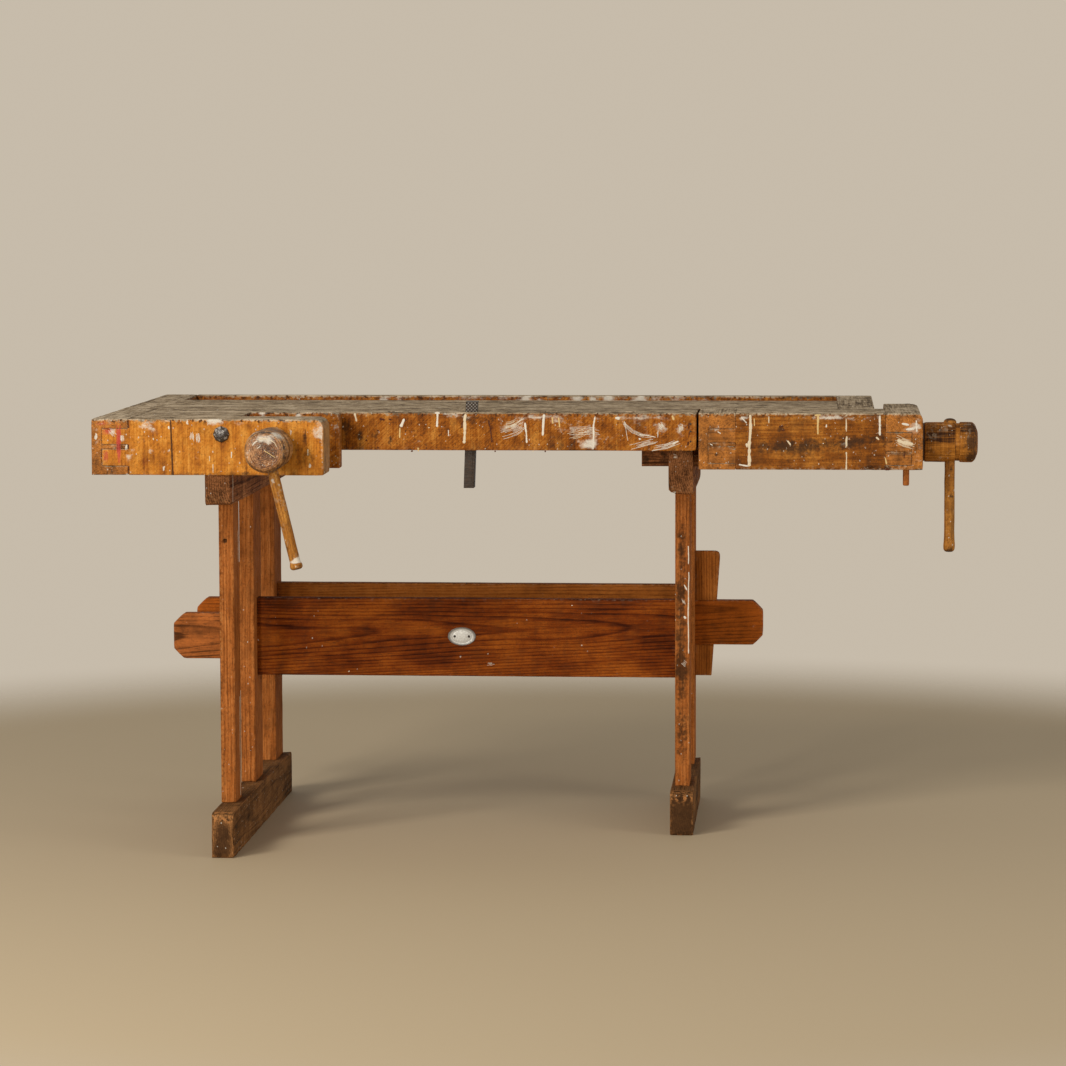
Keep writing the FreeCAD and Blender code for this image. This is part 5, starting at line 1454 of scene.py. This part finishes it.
TAIL_PAINT = [
    ([(682, 751), (681, 741)], 3, DARK), ([(446, 799), (455, 799)], 5, DARK),
    ([(450, 793), (457, 792)], 3, DARK), ([(643, 720), (654, 720)], 5, DARK),
    ([(392, 822), (392, 790), (390, 765), (391, 740), (390, 724)], 8, IVORY),
    ([(390, 725), (380, 726), (371, 728)], 4, WHITE), ([(386, 768), (386, 760)], 6, IVORY),
    ([(375, 818), (386, 806)], 2.5, WHITE), ([(400, 815), (400, 800)], 3, CREAM),
    ([(427, 819), (427, 806)], 2.5, IVORY), ([(513, 821), (525, 821)], 5, CREAM),
    ([(519, 821), (519, 785)], 5, CREAM), ([(536, 804), (535, 798)], 4, WHITE),
    ([(530, 769), (530, 767)], 5, WHITE), ([(462, 773), (469, 765)], 5, IVORY),
    ([(572, 815), (573, 790)], 3, IVORY), ([(573, 782), (573, 762)], 4.5, IVORY),
    ([(573, 752), (573, 718)], 3.5, IVORY), ([(635, 821), (636, 783)], 5, WHITE),
    ([(628, 780), (634, 775)], 4.5, IVORY), ([(664, 778), (680, 770), (702, 764)], 14, IVORY, 12),
    ([(668, 775), (680, 770), (698, 767)], 9, IVORY), ([(645, 742), (648, 729)], 4, CREAM),
    ([(676, 806), (690, 803)], 5, WHITE), ([(684, 794), (700, 796)], 6, WHITE),
    ([(703, 812), (704, 790)], 4, WHITE), ([(331, 790), (337, 786)], 3.5, WHITE),
    ([(317, 767), (322, 764)], 3.5, WHITE),
]
POST_PAINT = [
    ([(-137, 601), (-137, 570), (-138, 540)], 4, IVORY),
    ([(-136, 282), (-138, 180), (-137, 90)], 3.5, IVORY),
]
BEARER_PAINT = [
    ([(-262, 716), (-262, 665)], 3, WHITE), ([(-256, 712), (-256, 690)], 2, IVORY),
]
RIGHT_BEARER_PAINT = [
    ([(241, 738), (248, 736), (256, 732)], 4, WHITE, 3), ([(244, 733), (250, 733)], 2, WHITE),
]
RIGHT_POST_PAINT = [
    ([(270, 556), (270.5, 520)], 2.5, WHITE), ([(271, 505), (270, 430), (270.5, 345)], 2.5, WHITE),
    ([(262, 419), (266, 414)], 5, WHITE), ([(259, 330), (267, 322)], 7, WHITE, 4),
    ([(262, 480), (267, 470)], 3, WHITE), ([(258, 455), (263, 440)], 3, WHITE, 3),
]
STRETCHER_PAINT = [
    ([(-128, 317), (-110, 317)], 4, WHITE, 3), ([(-400, 300), (-397, 302)], 2.5, IVORY),
    ([(40, 434), (43, 434)], 2.5, WHITE),
]
FOOT_PAINT = [
    ([(249, 78), (250.5, 78)], 4, WHITE), ([(270, 78.5), (271.5, 78)], 4, WHITE),
]
# The front hub's face: strokes of paint, and two dark arcs along its lower rim that are painted shade under
# the bevel.
HUB_PAINT_AND_RIM_SHADE = [
    ([(-480, 776), (-471, 771), (-459, 763)], 1.5, CREAM),
    ([(-478, 774), (-486, 768), (-491, 760)], 1.3, DARK), ([(-483, 776), (-481, 788)], 1.3, DARK),
    ([(-501, 785), (-497, 790), (-491, 794)], 2.2, WHITE),
    ([(-489, 796), (-481, 798), (-473, 797)], 2.6, IVORY),
    ([(-467, 795), (-460, 790), (-456, 782)], 2.0, IVORY),
    ([(-505, 768), (-502, 758), (-496, 751)], 1.6, DARK),
    ([(-486, 746), (-476, 746), (-467, 750)], 1.6, DARK), ([(-470, 788), (-464, 781)], 1.4, DARK),
    ([(-492, 780), (-486, 785)], 1.6, WHITE),
]
# The painted faces: name of the piece, its strokes, the node under them and the axis it faces along.
PAINTED = (
    ("hub_paint_and_rim_shade", HUB_PAINT_AND_RIM_SHADE, "front_hub", Y), ("arm_paint_and_joint_shade", ARM_PAINT_AND_JOINT_SHADE, "vise_arm", Y),
    ("apron_paint", APRON_PAINT, "dog_strip", Y), ("tail_paint", TAIL_PAINT, "tail_front_board", Y),
    ("left_post_paint", POST_PAINT, "left_front_post", X),
    ("left_bearer_paint", BEARER_PAINT, "left_bearer", X),
    ("right_bearer_paint", RIGHT_BEARER_PAINT, "right_bearer", Y),
    ("right_post_paint", RIGHT_POST_PAINT, "right_front_post", Y),
    ("stretcher_paint", STRETCHER_PAINT, "front_stretcher", Y), ("foot_paint", FOOT_PAINT, "right_foot", Y),
)


def dried_paint_and_shade_lines():
    """Drips, dabs and dry brush strokes, with a few dark lines of painted shade, one piece for each painted
    face.
    """
    chance = np.random.default_rng(PAINT_SEED)
    for number, (name, strokes, node, axis) in enumerate(PAINTED):
        made = []
        for path, width, tint, *count in strokes:
            lines = hairs(path, width, count[0], chance) if count else [path]
            each = HAIR if count else width * THINNER
            thick = min(0.7, 0.2 + each * 0.05)
            for line in lines:
                made.append(bead(line, each, thick, node, axis, 80 + 60 * number + len(made), tint))
        surfaces, tints = zip(*made)
        make_piece(name, joined(*surfaces), "paint", None, frame["nodes"][node]["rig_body"],
                   marks=np.concatenate(tints))


# Hidden pieces keep their solids

HIDDEN = {"tail_washer": "steel", "tie_nut": "steel", "front_garter": "inner", "tail_nut": "inner",
          "top_dowels": "inner"}


def hidden_finishes():
    """Materials of the solids that stay: washer and nut in steel, garter, nut block and dowels in wood."""
    for node, finish in HIDDEN.items():
        mesh = frame["nodes"][node].data
        mesh.materials.clear()
        mesh.materials.append(FINISHES[finish])


# Floor, light and camera

FLOOR_COLOUR = (0.47, 0.365, 0.225)
WALL_COLOUR = (0.57, 0.50, 0.405)
SKY_COLOUR = (1.0, 0.97, 0.92)
LAMP_COLOUR = (1.0, 0.97, 0.93)
FLOOR_RADII = np.array([0.5, 1.5, 3.5])
FLOOR_REACH = (1.8, 2.8)
AMBIENT = 0.39
# Each lamp: its place, its size and its power. They all look at one point.
LAMPS = {
    "key": ((-3.0, -3.4, 3.3), 1.5, 145.0),
    "fill": ((-1.9, -5.2, 1.15), 0.8, 106.0),
    "side": ((4.6, -2.4, 1.3), 2.4, 85.0),
}
LAMP_TARGET = Vector((0.0, 0.0, 0.6))


def ground():
    """A plain pale floor of three circles, which fades out towards its rim."""
    turn = np.linspace(0, 2 * math.pi, 96, endpoint=False)
    radii = FLOOR_RADII[:, None]
    rings = np.stack(np.broadcast_arrays(radii * np.cos(turn), radii * np.sin(turn), 0.0), -1)
    ids = np.arange(rings[..., 0].size).reshape(rings.shape[:2])
    after = np.roll(ids, -1, axis=1)
    quads = np.stack([ids[:-1], ids[1:], after[1:], after[:-1]], -1).reshape(-1, 4)
    mesh = bpy.data.meshes.new("floor")
    mesh.from_pydata(rings.reshape(-1, 3).tolist(), [], [list(ids[0])] + quads.tolist())
    f = Finish("pale_floor")
    shader = f.add("ShaderNodeBsdfPrincipled", {"Base Color": FLOOR_COLOUR, "Roughness": 0.7})
    clear = f.add("ShaderNodeBsdfTransparent", {})
    faded = f.add("ShaderNodeMixShader", {0: f.step(f.length(f.place()), *FLOOR_REACH), 1: shader, 2: clear})
    f.add("ShaderNodeOutputMaterial", {"Surface": faded})
    mesh.materials.append(f.material)
    floor = bpy.data.objects.new("floor", mesh)
    bpy.context.scene.collection.objects.link(floor)


def lights():
    """An even sky behind a plain wall colour, and three soft lamps: key, fill and side."""
    world = bpy.data.worlds.new("studio")
    bpy.context.scene.world = world
    world.use_nodes = True
    nodes = Nodes(world.node_tree)
    seen = nodes.add("ShaderNodeLightPath", {}, "Is Camera Ray")
    seen = seen.at_least(seen.other("Is Transmission Ray"))
    sky = nodes.add("ShaderNodeBackground", {"Color": SKY_COLOUR, "Strength": AMBIENT})
    wall = nodes.add("ShaderNodeBackground", {"Color": WALL_COLOUR})
    nodes.add("ShaderNodeOutputWorld", {0: nodes.add("ShaderNodeMixShader", {0: seen, 1: sky, 2: wall})})
    for name, (place, size, power) in LAMPS.items():
        lamp = bpy.data.lights.new(name, "AREA")
        lamp.size = size
        lamp.energy = power
        lamp.color = LAMP_COLOUR
        holder = bpy.data.objects.new(name, lamp)
        holder.location = place
        holder.rotation_euler = (LAMP_TARGET - Vector(place)).to_track_quat("-Z", "Y").to_euler()
        bpy.context.scene.collection.objects.link(holder)


CAMERA_PLACE = (0.52356, -7.08687, 1.25934)
CAMERA_TURN = -0.07762
CAMERA_DOWN = 0.09462
CAMERA_ROLL = 0.00283
CAMERA_LENS = 125.04
SENSOR_WIDTH = 36.0


def camera():
    """The camera: turned to the left of +Y, tipped down and rolled a little, by its three unit vectors."""
    forward = Vector((math.sin(CAMERA_TURN) * math.cos(CAMERA_DOWN),
                      math.cos(CAMERA_TURN) * math.cos(CAMERA_DOWN), -math.sin(CAMERA_DOWN)))
    level = Vector((math.cos(CAMERA_TURN), -math.sin(CAMERA_TURN), 0))
    upright = level.cross(forward)
    right = level * math.cos(CAMERA_ROLL) - upright * math.sin(CAMERA_ROLL)
    up = level * math.sin(CAMERA_ROLL) + upright * math.cos(CAMERA_ROLL)
    turn = Matrix((right, up, -forward)).transposed().to_4x4()
    data = bpy.data.cameras.new("camera")
    data.lens = CAMERA_LENS
    data.sensor_width = SENSOR_WIDTH
    eye = bpy.data.objects.new("camera", data)
    eye.matrix_world = Matrix.Translation(CAMERA_PLACE) @ turn
    bpy.context.scene.collection.objects.link(eye)
    bpy.context.scene.camera = eye


for build in (worktop, shoulder_vise, tail_vise, trestles, base_rails, front_screw_set, tail_screw_set,
              tie_bolt, bench_dog, plate_and_nails, dried_paint_and_shade_lines, hidden_finishes, ground, lights, camera):
    build()
bpy.context.scene.view_settings.view_transform = "Standard"
